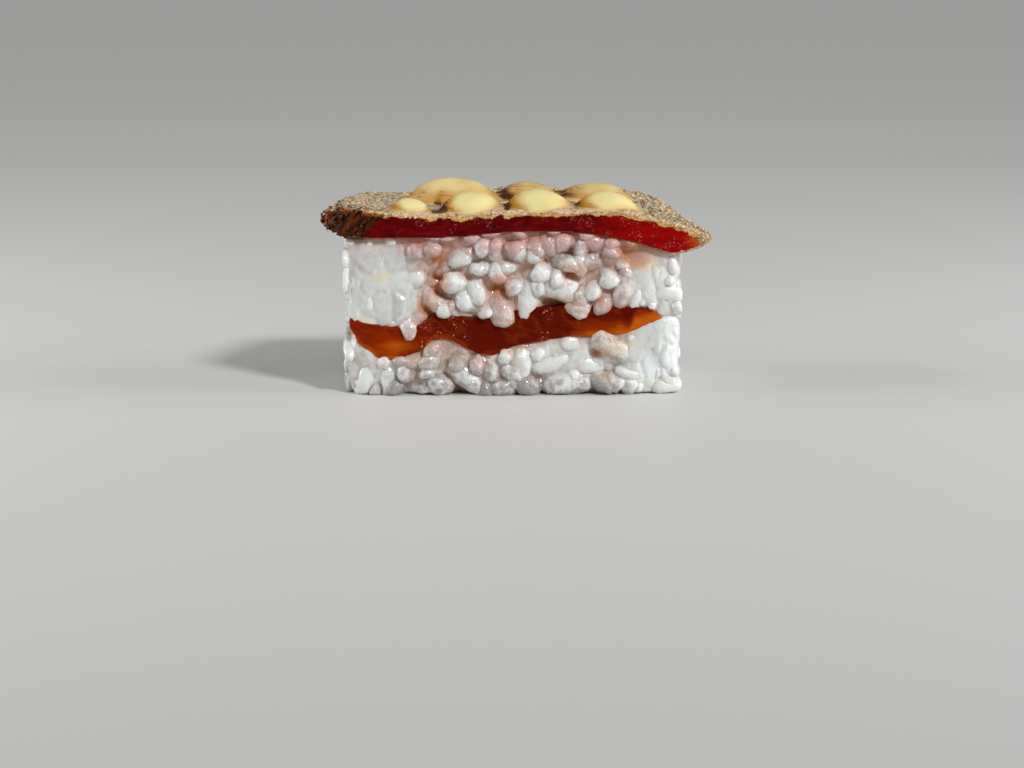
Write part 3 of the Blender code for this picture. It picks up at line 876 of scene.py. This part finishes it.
def stain_and_shade_masks(mesh, layer):
    """How fused the rice is at each vertex, and its tints: tan painted shade in the hollows and deeper behind
    the cut, pink and amber that are partly stain and partly painted shade, cream, and mauve.
    """
    points = points_of(mesh)
    x, y, z = points.T
    cloud = noise_at(points, 5.0, 3.0)
    fused = fused_at(layer, x, y, z)
    open_share = 1 - fused
    depth = wall_depth(points, rice_walls(layer))
    # painted shade: the deeper behind the wall, the stronger the tan, pink and amber tints
    sunk = ease((depth + 0.3) / 1.6)
    in_front = 0.3 + 0.7 * ease(-(y + 6.5) / 4.0)
    upper = layer == "rice_upper"
    hollow = hollow_at(layer, x, y, z) * (0.6 + 0.4 * ease((depth - 0.7) / 1.0))
    if upper:
        # pink: partly stain from the beef, partly painted shade under it
        under_beef = ease(1 - (beef_bottom(x, y) - z) / (6.0 + 3.0 * cloud))
        pink = under_beef * (0.5 + 0.5 * open_share) + 0.55 * open_share * ease(cloud + 0.7)
        pink *= in_front
        from_filling = z - rice_floor[layer](x, y)
    else:
        pink = 0.2 * open_share * ease(cloud + 0.5)
        from_filling = rice_roof[layer](x, y) - z
    amber = 0.75 * ease(1 - from_filling / (1.8 + cloud)) * (0.15 + 0.85 * open_share)
    set_masks(
        mesh,
        fused=fused,
        hollow=np.maximum(hollow, (0.42 if upper else 0.26) * sunk * open_share * in_front),
        pink=pink * (0.55 + 0.45 * sunk),
        amber=amber * (0.4 + 0.6 * sunk),
        cream=in_ovals(CREAM_PATCHES, x, z, 1.3 - 0.4 * cloud, 0.8) * (y < 0),
        mauve=ease(1 - z / (5.5 + 2 * cloud)) * open_share * (not upper),
    )


def press_smooth(points, layer):
    """Flattens what stands past the walls, most of all where the press has fused the rice."""
    left, right, front, back = rice_walls(layer)
    fused = fused_at(layer, *points.T)
    out = points.copy()
    for axis, wall, way in ((0, left, -1), (0, right, 1), (1, front, -1), (1, back, 1)):
        past = (points[:, axis] - wall) * way + 0.1
        even = 0.4 if axis == 1 or way < 0 else 0.25
        keep = 0.8 - 0.55 * fused if axis == 1 and way < 0 else np.full(len(points), even)
        out[:, axis] = np.where(past > 0, points[:, axis] - way * past * (1 - keep), out[:, axis])
    if layer == "rice_lower":
        out[:, 2] = np.maximum(out[:, 2], 0.0)
    else:
        over = out[:, 2] - (beef_bottom(out[:, 0], out[:, 1]) - UNDER_BEEF)
        squashed = UNDER_BEEF * (1 - np.exp(-above_zero(over) / UNDER_BEEF))
        out[:, 2] -= np.where(over > 0, over - squashed, 0)
    return out


def relax_mesh(mesh, weights, rounds):
    """Draws each vertex towards the middle of its neighbours."""
    ends = np.empty(len(mesh.edges) * 2, np.int32)
    mesh.edges.foreach_get("vertices", ends)
    a, b = ends.reshape(-1, 2).T
    points = points_of(mesh)
    size = len(points)
    count = (np.bincount(a, minlength=size) + np.bincount(b, minlength=size))[:, None]
    for _ in range(rounds):
        total = [np.bincount(a, points[b, k], size) + np.bincount(b, points[a, k], size) for k in range(3)]
        points += (np.stack(total, axis=1) / count - points) * weights[:, None]
    set_points(mesh, points)


def rice_block(layer):
    """The layer's own solid, drawn in behind its walls, with the relief of grains further in."""
    walls = left, right, front, back = rice_walls(layer)
    mesh = fine_skin(joined_mesh(layer), BLOCK_VOXEL)
    points = points_of(mesh)
    x, y, z = points.T
    fused, hollow = fused_at(layer, x, y, z), hollow_at(layer, x, y, z)
    lumps = 0.5 * noise_at(points, 2.8, 5.0) + 0.25 * noise_at(points, 1.3, 9.0)
    depth_y = MASS_DEPTH + (MASS_DEPTH_HOLLOW - MASS_DEPTH) * hollow
    depth_y += (MASS_DEPTH_FUSED - depth_y) * fused + lumps * (1 - 0.6 * fused)
    depth_y = np.maximum(depth_y, PRESSED_HOLLOW * hollow)
    depth_x = (MASS_DEPTH_ENDS + 0.6 * lumps) * (1 - 0.9 * fused)
    middle_x, half_x = (left + right) / 2, (right - left) / 2
    middle_y, half_y = (front + back) / 2, (back - front) / 2
    floor, roof = rice_floor[layer], rice_roof[layer]
    low, high = floor(x, y), roof(x, y)
    if layer == "rice_upper":
        depth_y *= 1 - 0.5 * ease(1 - (high - z) / 1.2)
    share = np.clip((z - low) / np.maximum(high - low, 0.5), 0, 1)
    new_x = middle_x + (x - middle_x) * (1 - depth_x / half_x)
    new_y = middle_y + (y - middle_y) * (1 - depth_y / half_y)
    filling_low, filling_high = box_mm("filling")
    past_filling = ease(np.maximum(filling_low[0] + 1.6 - new_x, new_x - filling_high[0] + 2.6) / 1.8)
    at_wall = ease(1 - wall_depth(np.stack([new_x, new_y], axis=1), walls) / 2.0)
    lap = np.maximum(1.4 * past_filling, 0.9 * at_wall * fused) * (1 + 0.6 * noise_at(points, 1.8, 25.0))
    lap = np.maximum(lap, LEAST_LAP)
    sink = 0.02 if layer == "rice_lower" else 0.2 - lap
    low, high = floor(new_x, new_y) + sink, roof(new_x, new_y) + 0.3
    set_points(mesh, np.stack([new_x, new_y, low + share * (high - low)], axis=1))
    return mesh


def pressed_cells(points):
    """Relief and tone of grains pressed flat: each at its own level, with soft creases between."""
    sway = np.stack([noise_at(points, 3.0, shift) for shift in (1.0, 11.0, 21.0)], axis=1)
    cells = [noise.voronoi(p) for p in points / PRESSED_CELL + 0.35 * sway]
    near = np.array([distances[:2] for distances, _ in cells])
    middles = np.array([tuple(centres[0]) for _, centres in cells])
    level = noise_at(middles, 0.37, 5.0)
    fade = ease(0.6 + noise_at(points, 5.0, 31.0))
    crease = np.exp(-(((near[:, 1] - near[:, 0]) / CREASE_WIDTH) ** 2)) * fade
    slope = ((points - middles * PRESSED_CELL) * noise_at(middles, 0.41, 9.0)[:, None])[:, 0]
    return 0.34 * level - CREASE_DEPTH * crease + 0.07 * slope, level


def rice_pieces(rng, layer, tree, material):
    """One layer: its real grains, which stand for the frame node, over a smaller fused mass."""
    centres, directions, sizes, clear = settle_grains(rng, layer)
    glassier = GLASSIER_BELOW if layer == "rice_lower" else 0.0
    clear = (clear + glassier) * (1 - 0.75 * fused_at(layer, *centres.T))
    turns = turns_to(directions, rng.uniform(0, 2 * math.pi, len(centres)))
    form = {"Length": GRAIN_LENGTH, "Thickness": GRAIN_THICKNESS, "Unevenness": GRAIN_BEND}
    values = {**form, "Segments": 12, "Rings": 8}
    made = []
    fused = fused_at(layer, *centres.T)[:, None]
    for scale in (GRAIN_SWELL - FUSED_SHRINK * fused, SUNK_SIZE - FUSED_SHRINK * fused):
        mesh = scattered_mesh(tree, centres, turns, sizes * scale, clear, material, values)
        points = points_of(mesh)
        dents = 0.5 * noise_at(points, 2.3, 2.0) - 0.75 * np.abs(noise_at(points, 1.9, 6.0))
        dents += 0.16 * noise_at(points, 1.0, 3.0) + 0.14
        set_points(mesh, press_smooth(points + normals_of(mesh) * dents[:, None], layer))
        made.append(mesh)
    grains, sunk = made
    mass = fused_skin([sunk, rice_block(layer)], MASS_VOXEL)
    fused = fused_at(layer, *points_of(mass).T)
    relax_mesh(mass, 0.6 + 0.25 * fused, RELAX_ROUNDS)
    points = points_of(mass)
    relief, cell_tone = pressed_cells(points)
    points += normals_of(mass) * (relief * fused + 0.04 * noise_at(points, 1.2, 8.0))[:, None]
    if layer == "rice_lower":
        points[:, 2] = np.maximum(points[:, 2], 0.02)
    set_points(mass, points)
    for mesh in (grains, mass):
        stain_and_shade_masks(mesh, layer)
    # painted light: the fused rice right of the middle is painted whiter and the left greyer, as if lit from
    # the right
    lit_right_whiter = np.where(points[:, 0] > 0, 0.28 + 1.1 * glassier, 0.08 + 1.0 * glassier)
    set_masks(mass, tone=0.5 + glassier + (0.25 * cell_tone - lit_right_whiter) * fused)
    finish_piece(grains, layer + "_grains", material, [layer])
    finish_piece(mass, layer + "_mass", material)


# ---- filling


FILLING_VOXEL = 0.3
FILLING_WALL = 12.9  # beyond this distance from the middle the filling is drawn back in
FILLING_TIP = 2.2  # how far from its right end it thins out
FILLING_CREEP = 0.5  # how far it has soaked into the rice above and below
PITTED_SPOTS = ((-15.8, 1.2), (-11.0, 2.2), (4.5, 0.9))  # where its skin is pitted: x, half width
PITTED_BELOW = 14.5


def filling_piece(material):
    """The amber layer, lumpy and folded at its cuts, painted lighter where it is thin, as if light shone
    through it.
    """
    mesh = fine_skin(joined_mesh("filling"), FILLING_VOXEL, smooth_rounds=2)
    points = points_of(mesh)
    normals = normals_of(mesh)
    layered = points / (3.0, 3.0, 1.0)
    relief = 0.22 * noise_at(points, 4.0, 1.0) + 0.22 * noise_at(layered, 1.0, 4.0)
    spots = sum(np.exp(-(((points[:, 0] - at) / wide) ** 2)) for at, wide in PITTED_SPOTS)
    spots *= points[:, 2] < PITTED_BELOW
    relief += spots * 0.22 * noise_at(points, 1.0, 21.0, 2)
    points += normals * relief[:, None]
    past = above_zero(np.abs(points[:, 1]) - FILLING_WALL)
    points[:, 1] -= np.sign(points[:, 1]) * past * 0.65
    to_tip = points[:, 0].max() - points[:, 0]
    middle = np.median(points[to_tip < FILLING_TIP, 2])
    points[:, 2] = middle + (points[:, 2] - middle) * (0.25 + 0.75 * ease(to_tip / FILLING_TIP))
    points[:, 2] += FILLING_CREEP * ease(np.abs(normals[:, 2]) * 2) * np.sign(normals[:, 2])
    set_points(mesh, points)
    x, y, z = points.T
    low, high = rice_roof["rice_lower"](x, y), rice_floor["rice_upper"](x, y)
    share = np.clip((z - low) / np.maximum(high - low, 0.4), 0, 1)
    left_lobe = np.exp(-(((x + 20.5) / 3.4) ** 2) - ((z - 8.2) / 1.5) ** 2)
    right_tail = ease((x - 7.0) / 13.0) * ease(1.15 - 1.4 * share)
    left_side = 0.2 * ease((-12.5 - x) / 3.0)
    # painted light: the thin lower edge is painted lighter, as if lit through
    lit_thin_edge = 0.45 * ease(1 - share / 0.22)
    dark_heart = 0.35 * np.exp(-((x / 5.0) ** 2))
    glow = 0.6 * left_lobe + 1.1 * right_tail + left_side + lit_thin_edge - dark_heart
    set_masks(mesh, glow=glow, pitted=spots)
    finish_piece(mesh, "filling_layer", material, ["filling"])


# ---- beef


BEEF_VOXEL = 0.25
# The charred end: its edge on the front cut runs from the foot up to the right.
CHAR_FOOT, CHAR_FOOT_HEIGHT = -25.7, 26.1
CHAR_LEAN = 1.1
END_DROOP, END_DROOP_FROM = 1.1, -28.8  # how far the top of the left end has sunk in the searing
CHAR_DEPTH = 6.0  # how far back from the front cut it is darkest


def beef_piece(material):
    """The slice: coarse cooked top, smooth red cuts, charred left end, thin right tip."""
    mesh = fine_skin(joined_mesh("beef_slice"), BEEF_VOXEL, smooth_rounds=3)
    points = points_of(mesh)
    normals = normals_of(mesh)
    x, y, z = points.T
    top = beef_top(x, y)
    facing = np.abs(normals[:, 1])
    upward = ease((normals[:, 2] - 0.2) / 0.5)
    char_edge = CHAR_FOOT + CHAR_LEAN * (z - CHAR_FOOT_HEIGHT) + 0.9 * noise_at(points, 1.8, 8.0)
    char = ease((char_edge - x) / 1.2) * (1 - upward * ease((x + 31.5) / 2.0))
    char *= 1 - 0.5 * ease((y + 14 - CHAR_DEPTH) / 8.0)
    fibrous = points / (1.8, 1.0, 1.0)
    rough = (0.17 * noise_at(fibrous, 0.6, 6.0, 2) + 0.22 * noise_at(points, 3.5, 7.0)) * upward
    rough += char * (0.5 * noise_at(points, 1.4, 9.0, 2) + 0.1)
    rim = np.exp(-(((top - z - 0.2) / 0.4) ** 2)) * ease(facing * 2)
    rough += rim * (0.3 * noise_at(points, 1.5, 3.0, 2) + 0.08)
    rough += ease((x - 29.3) / 3.0) * 0.3 * noise_at(points, 0.9, 12.0)
    cut = ease((facing - 0.35) / 0.3) * (1 - ease((x - 30.6) / 1.4))
    rough += (1 - upward) * cut * (0.1 * noise_at(fibrous, 2.2, 15.0) + 0.05 * noise_at(fibrous, 0.8, 18.0))
    bottom = beef_bottom(x, y)
    share = np.clip((z - bottom) / np.maximum(top - bottom, 0.3), 0, 1)
    droop = END_DROOP * ease((END_DROOP_FROM - x) / 3.5) * share
    points += normals * rough[:, None]
    points[:, 2] -= droop
    set_points(mesh, points)
    set_masks(
        mesh,
        cut=cut,
        char=char,
        ember=np.maximum(ease(1 - (top - z) / 1.1), ease((-30.5 - x) / 2.0)),
        below_top=top - z,
        flat=upward,
        bright=ease((x - 8.0) / 14.0) * 0.9,
        ends=ease((x - 27.6 + 1.2 * noise_at(points, 1.6, 22.0)) / 3.6),
        tip=ease((x - 28.0) / 4.0) * ease(1.5 - upward),
    )
    return finish_piece(mesh, "seared_beef_slice", material, ["beef_slice"])


def surface_of(piece):
    """A tree of a finished piece's faces, in millimetres."""
    corners = [tuple(p) for p in points_of(piece.data) / MM]
    faces = [tuple(face.vertices) for face in piece.data.polygons]
    return BVHTree.FromPolygons(corners, faces)


CRUMB_START = 12  # how far outside the beef the crumbs set out for it
CRUMB_LIMIT = 14.2  # beyond this distance from the middle there are none
STRIP_FRONT = -13.45  # in front of this they lie on the film instead of under it
TOP_ABOVE = 25  # the sauce lies only on what is higher than this
CRUMB_PATCHES = (
    # count, the patch's middle and half sizes, the way that the crumbs travel, size, stretch, tone
    (240, (-29.4, -7.0, 29.0), (3.4, 6.9, 2.6), (1, 0, 0), (0.2, 0.45), (0.8, 3.0), (0.0, 0.12)),
    (150, (-28.6, -6.0, 29.0), (4.6, 7.6, 3.0), (0, 0, 1), (0.25, 0.6), (0.8, 1.6), (0.0, 0.12)),
    (130, (-28.4, -11.8, 29.0), (4.0, 1.8, 2.5), (0, 0, -1), (0.2, 0.5), (0.8, 1.4), (0.0, 0.5)),
    (110, (-27.0, -13.4, 27.6), (1.3, 0.6, 2.0), (0, 0, 1), (0.25, 0.5), (0.8, 1.3), (0.0, 0.15)),
    (1300, (-19.0, 0.0, 29.0), (13.0, 13.8, 3.0), (0, 0, -1), (0.24, 0.5), (0.9, 2.1), (0.35, 1.0)),
    (2000, (13.0, 0.0, 29.0), (19.0, 13.8, 3.0), (0, 0, -1), (0.26, 0.56), (0.9, 1.6), (0.2, 1.15)),
    (460, (4.0, -13.74, 29.0), (28.5, 0.26, 3.0), (0, 0, -1), (0.25, 0.6), (0.8, 1.5), (0.65, 1.1)),
    (260, (29.2, -9.0, 27.0), (3.6, 4.9, 3.0), (0, 0, 1), (0.3, 0.6), (0.8, 1.2), (0.6, 1.0)),
    (120, (30.6, -13.0, 26.4), (2.4, 0.9, 3.0), (0, 0, -1), (0.3, 0.55), (0.8, 1.2), (0.7, 1.0)),
    (150, (29.6, -13.6, 26.0), (2.8, 0.4, 3.0), (0, 0, 1), (0.3, 0.6), (0.8, 1.2), (0.4, 0.9)),
    (110, (31.2, -13.6, 26.0), (1.5, 0.5, 1.8), (0, 1, 0), (0.25, 0.55), (0.8, 1.3), (0.3, 0.9)),
)


def under_sauce(spot):
    """Whether a spot on the beef lies under a dome or under the film along the front edge."""
    left, right = FRONT_FILM_ENDS
    in_strip = left < spot.x < right and STRIP_FRONT < spot.y < FRONT_FILM_BACK - 1
    return spot.z > TOP_ABOVE and (in_strip or sauce_gap(spot) < 1.0)


def crumb_pieces(rng, material, beef):
    """Grains of the cooked top, charred crumbs at the left end and beads round the right tip."""
    tree = scatter_tree("crumbs", crumb_form)
    surface = surface_of(beef)
    spots, directions, scale, tones = [], [], [], []
    for count, middle, half, way, size, stretch, tone in CRUMB_PATCHES:
        way = np.array(way, float)
        for _ in range(count):
            aim = np.array(middle) + rng.uniform(-1, 1, 3) * half
            start = aim - way * CRUMB_START - way * (aim - middle)
            hit = surface.ray_cast(Vector(start), Vector(way))[0]
            wide = rng.uniform(*size)
            long = wide * rng.uniform(*stretch)
            shade = rng.uniform(*tone)
            heading = rng.normal(size=3)
            if hit is None or abs(hit.y) > CRUMB_LIMIT or (way[2] < 0 and under_sauce(hit)):
                continue
            spots.append(tuple(hit))
            directions.append(np.array((1.0, 0, 0)) + 0.6 * heading if stretch[1] > 1.7 else heading)
            scale.append((wide, wide * 0.8, long))
            tones.append(shade)
    turns = turns_to(directions, rng.uniform(0, 2 * math.pi, len(spots)))
    values = {"Thickness": 1.0, "Segments": 6, "Rings": 4, "Unevenness": 0.9, "Seed": 3.0}
    mesh = scattered_mesh(tree, spots, turns, scale, tones, material, values)
    finish_piece(mesh, "sear_crumbs", material)


# ---- sauce


FILM_PITCH, FILM_RANGE = 0.4, 2.5  # spacing of the film's grid, and how far it runs past the domes
FILM_MARGIN = 1.3  # how far the film spreads past the feet of the domes
FILM_THICKNESS = 0.4
FILM_SINK = 0.55  # how far it reaches down into the coarse top of the beef
FILM_FRONT = -13.8  # it stops here, just short of the front cut
FRONT_FILM_ENDS, FRONT_FILM_BACK = (-20.5, 21.5), -10.0  # where it has run to the front edge
SKIRT_REACH, SKIRT_RISE = 1.2, 0.3  # the swell round each dome, as shares of its own size
VALLEY_RISE = 1.0  # how high the sauce stands where two domes nearly meet
SAUCE_VOXEL, MELT_ROUNDS = 0.3, 9
# Clefts between the front domes, darkened partly by scorch and partly as painted shade: x, half width,
# strength, and how far back each one goes.
CLEFTS = ((-13.0, 1.2, 2.3, -0.4), (-1.6, 0.7, 0.8, -4.0), (10.0, 0.7, 0.6, -4.0))
CLEFT_TOP = -4.0  # behind this they only tint the back domes, as a fainter painted shade
# How far each back dome is torched all over, veiled by the film, and golden on its left flank, partly as
# torch browning and partly as painted shade.
BACK_LOOKS = {
    "sauce_dome_back_1": (0.34, 0.1, 0.3),
    "sauce_dome_back_2": (0.6, 0.55, 1.0),
    "sauce_dome_back_3": (0.4, 0.5, 1.0),
}
FRONT_LOOKS = (0.0, 0.0, 1.0)
dome_low, dome_high = (np.array(corners) for corners in zip(*(box_mm(name) for name in DOMES)))
DOME_MIDDLES, DOME_HALVES = (dome_low + dome_high) / 2, (dome_high - dome_low) / 2


def dome_rings(points):
    """Each point's place across and along every dome, as shares of the dome's half sizes."""
    away = (np.atleast_2d(points) - DOME_MIDDLES[:, None]) / DOME_HALVES[:, None]
    return away[..., 0], away[..., 1]


def foot_gaps(across, along):
    """How far outside each dome's foot each point lies, in millimetres."""
    mean_half = (DOME_HALVES[:, :1] + DOME_HALVES[:, 1:2]) / 2
    return (np.hypot(across, along) - 1) * mean_half


def sauce_gap(point):
    """How far a point lies outside the nearest dome's foot."""
    return float(foot_gaps(*dome_rings(point)).min())


def valley_at(gaps):
    """1 where two domes touch, falling off away from there."""
    nearest = np.sort(above_zero(gaps), axis=0)
    return np.exp(-(nearest[0] + nearest[1]) / 1.1)


def clefts_at(points):
    """How deep each point lies in the clefts between the front domes, which are darkened partly by scorch and
    partly as painted shade.
    """
    total = np.zeros(len(points))
    sway = 0.35 * noise_at(points * (0.0, 1.0, 1.0), 1.6, 13.0)
    for x, half, strength, back in CLEFTS:
        along = ease((back - points[:, 1]) / 3.5) * ease((points[:, 1] + 13.4) / 1.5)
        wide = half * (0.4 + 0.6 * along)
        low_down = 0.65 + 0.35 * ease((CLEFT_TOP - points[:, 1]) / 2.0)
        total += strength * np.exp(-(((points[:, 0] + sway - x) / wide) ** 2)) * along * low_down
    return total * (0.9 + 0.8 * noise_at(points / (1.0, 4.0, 2.0), 0.7, 5.0))


def film_slab():
    """The thin sauce as a closed slab that swells round the domes."""
    start = (DOME_MIDDLES - DOME_HALVES).min(0) - FILM_RANGE
    stop = (DOME_MIDDLES + DOME_HALVES).max(0) + FILM_RANGE
    xs = np.arange(start[0], stop[0], FILM_PITCH)
    ys = np.arange(max(start[1], FILM_FRONT), stop[1], FILM_PITCH)
    grid = np.array([(x, y, 0.0) for x in xs for y in ys])
    across, along = dome_rings(grid)
    gaps = foot_gaps(across, along)
    strip = ease((grid[:, 0] - FRONT_FILM_ENDS[0]) / 2) * ease((FRONT_FILM_ENDS[1] - grid[:, 0]) / 2)
    strip *= ease((FRONT_FILM_BACK - grid[:, 1]) / 1.5)
    edge = FILM_MARGIN + 0.7 * noise_at(grid, 3.0, 4.0) + 2.4 * strip - gaps.min(0)
    swell = above_zero(1 - (np.hypot(across, along) / SKIRT_REACH) ** 2) ** 2
    skirt = SKIRT_RISE * (swell * (2 * DOME_HALVES[:, 2:])).max(0)
    thickness = FILM_THICKNESS * ease(edge / 1.2) + skirt + VALLEY_RISE * valley_at(gaps)
    thickness += 0.06 * noise_at(grid / (1.6, 1.0, 1.0), 1.2, 7.0) - 0.3 * clefts_at(grid)
    thickness += 0.2 * strip * noise_at(grid, 1.1, 27.0)
    height = beef_top(grid[:, 0], grid[:, 1])
    mesh = bmesh.new()
    tops, feet = {}, {}
    for i, j in zip(*np.nonzero((edge > 0).reshape(len(xs), len(ys)))):
        k = i * len(ys) + j
        tops[i, j] = mesh.verts.new((xs[i], ys[j], height[k] + max(thickness[k], 0.03)))
        feet[i, j] = mesh.verts.new((xs[i], ys[j], height[k] - FILM_SINK))
    cells = {(i, j) for i, j in tops if all(c in tops for c in ((i + 1, j), (i, j + 1), (i + 1, j + 1)))}
    for i, j in sorted(cells):
        ring = ((i, j), (i + 1, j), (i + 1, j + 1), (i, j + 1))
        mesh.faces.new([tops[c] for c in ring])
        mesh.faces.new([feet[c] for c in reversed(ring)])
        beyond = ((i, j - 1), (i + 1, j), (i, j + 1), (i - 1, j))
        for side, neighbour in enumerate(beyond):
            if neighbour not in cells:
                a, b = ring[side], ring[(side + 1) % 4]
                mesh.faces.new([tops[b], tops[a], feet[a], feet[b]])
    bmesh.ops.delete(mesh, geom=[v for v in mesh.verts if not v.link_faces], context="VERTS")
    bmesh.ops.recalc_face_normals(mesh, faces=mesh.faces)
    return mesh


def sauce_piece(material):
    """The seven domes and the torched film that they stand in, melted into one skin."""
    mesh = fused_skin([film_slab(), *(joined_mesh(name) for name in DOMES)], SAUCE_VOXEL)
    gaps = foot_gaps(*dome_rings(points_of(mesh))).min(0)
    relax_mesh(mesh, 0.3 + 0.5 * np.exp(-((gaps / 1.1) ** 2)), MELT_ROUNDS)
    points = points_of(mesh)
    points += normals_of(mesh) * (0.1 * noise_at(points, 3.0, 6.0) + 0.05)[:, None]
    set_points(mesh, points)
    across, along = dome_rings(points)
    gaps = foot_gaps(across, along)
    which = gaps.argmin(0)
    gap, across, along = (rows[which, np.arange(len(points))] for rows in (gaps, across, along))
    extra, veil, flank_gold_and_shade = np.array([BACK_LOOKS.get(name, FRONT_LOOKS) for name in DOMES])[which].T
    on_dome = ease((0.85 - gap) / 0.8)
    outward = np.hypot(across, along)
    foot = ease((outward - 0.72) / 0.3) * (1 - 0.3 * ease(-along))
    # painted shade: the domes' left flanks, away from the light, are made more golden on top of their torch
    # browning
    left_flank_gold_and_shade = ease((-across - 0.05) / 0.75) * flank_gold_and_shade
    cloud = noise_at(points, 3.0, 2.0)
    dome_torch = 0.5 * foot * (0.5 + 0.5 * flank_gold_and_shade) + 0.62 * left_flank_gold_and_shade + extra
    torch = dome_torch * on_dome + 0.8 * (1 - on_dome) + 0.2 * cloud + 0.6 * valley_at(gaps)
    # scorch and painted shade: the clefts darken the sauce between the front domes
    torch += clefts_at(points)
    in_front = ease((-8.6 - points[:, 1]) / 3.0)
    spread = 0.65 * foot * (which >= len(FRONT_DOMES)) * (0.4 + 0.6 * flank_gold_and_shade)
    film = np.maximum(1 - on_dome, np.maximum(veil, spread))
    set_masks(mesh, torch=torch, film=film, thin=(1 - on_dome) * in_front * 0.8, ring=gap)
    finish_piece(mesh, "torched_sauce", material, DOMES)


# ---- floor, light and camera


STUDIO_MIDDLE = (0.0, 0.0, 0.015)
FLOOR_RADIUS = 3.5
PANEL_SIZE, PANEL_POWER = 0.2, 0.7
SUN_SIZE, SUN_POWER = 9, 1.8  # its size is in degrees


def pale_floor():
    paint = Paint("pale_floor", roughness=0.6, base_color=rgb(214, 214, 212))
    mesh = bmesh.new()
    bmesh.ops.create_circle(mesh, cap_ends=True, segments=64, radius=FLOOR_RADIUS)
    floor = object_from(mesh, "floor")
    floor.data.materials.append(paint.material)


def aimed(name, data, place, way):
    """A light or a camera that looks along a direction from its place."""
    thing = bpy.data.objects.new(name, data)
    thing.location = place
    thing.rotation_euler = way.to_track_quat("-Z", "Y").to_euler()
    bpy.context.scene.collection.objects.link(thing)
    return thing


def aimed_light(name, kind, place, power):
    data = bpy.data.lights.new(name, kind)
    data.energy = power
    aimed(name, data, place, Vector(STUDIO_MIDDLE) - Vector(place))
    return data


def studio():
    scene = bpy.context.scene
    scene.view_settings.view_transform = "Standard"
    world = bpy.data.worlds.new("studio")
    world.use_nodes = True
    background = world.node_tree.nodes["Background"].inputs
    background["Color"].default_value = rgb(222, 222, 222)
    background["Strength"].default_value = 0.22
    scene.world = world
    aimed_light("key", "SUN", (0.3, -0.38, 0.42), SUN_POWER).angle = math.radians(SUN_SIZE)
    aimed_light("right", "AREA", (0.35, -0.04, 0.15), PANEL_POWER).size = PANEL_SIZE
    aimed_light("left", "AREA", (-0.35, -0.02, 0.15), PANEL_POWER).size = PANEL_SIZE


LENS, SENSOR = 100.0, 36.0
CAMERA_AWAY = 0.472
CAMERA_UP = 10.8  # degrees above the horizon
CAMERA_ROUND = -1.0  # degrees towards the left end
CAMERA_AIM = (-0.0009, -0.014, 0.0020)


def camera():
    data = bpy.data.cameras.new("camera")
    data.lens, data.sensor_width = LENS, SENSOR
    data.clip_start, data.clip_end = 0.01, 20.0
    up, around = math.radians(CAMERA_UP), math.radians(CAMERA_ROUND)
    back = Vector((math.sin(around) * math.cos(up), -math.cos(around) * math.cos(up), math.sin(up)))
    place = Vector(CAMERA_AIM) + back * CAMERA_AWAY
    bpy.context.scene.camera = aimed("camera", data, place, -back)


# ---- making it all


def main():
    rng = np.random.default_rng(SEED)
    camera()
    studio()
    pale_floor()
    rice = rice_material()
    grain_tree = scatter_tree("rice_grains", rice_form)
    for layer in RICE_LAYERS:
        rice_pieces(rng, layer, grain_tree, rice)
    filling_piece(filling_material())
    beef = beef_piece(beef_material())
    crumb_pieces(rng, crumb_material(), beef)
    sauce_piece(sauce_material())


main()
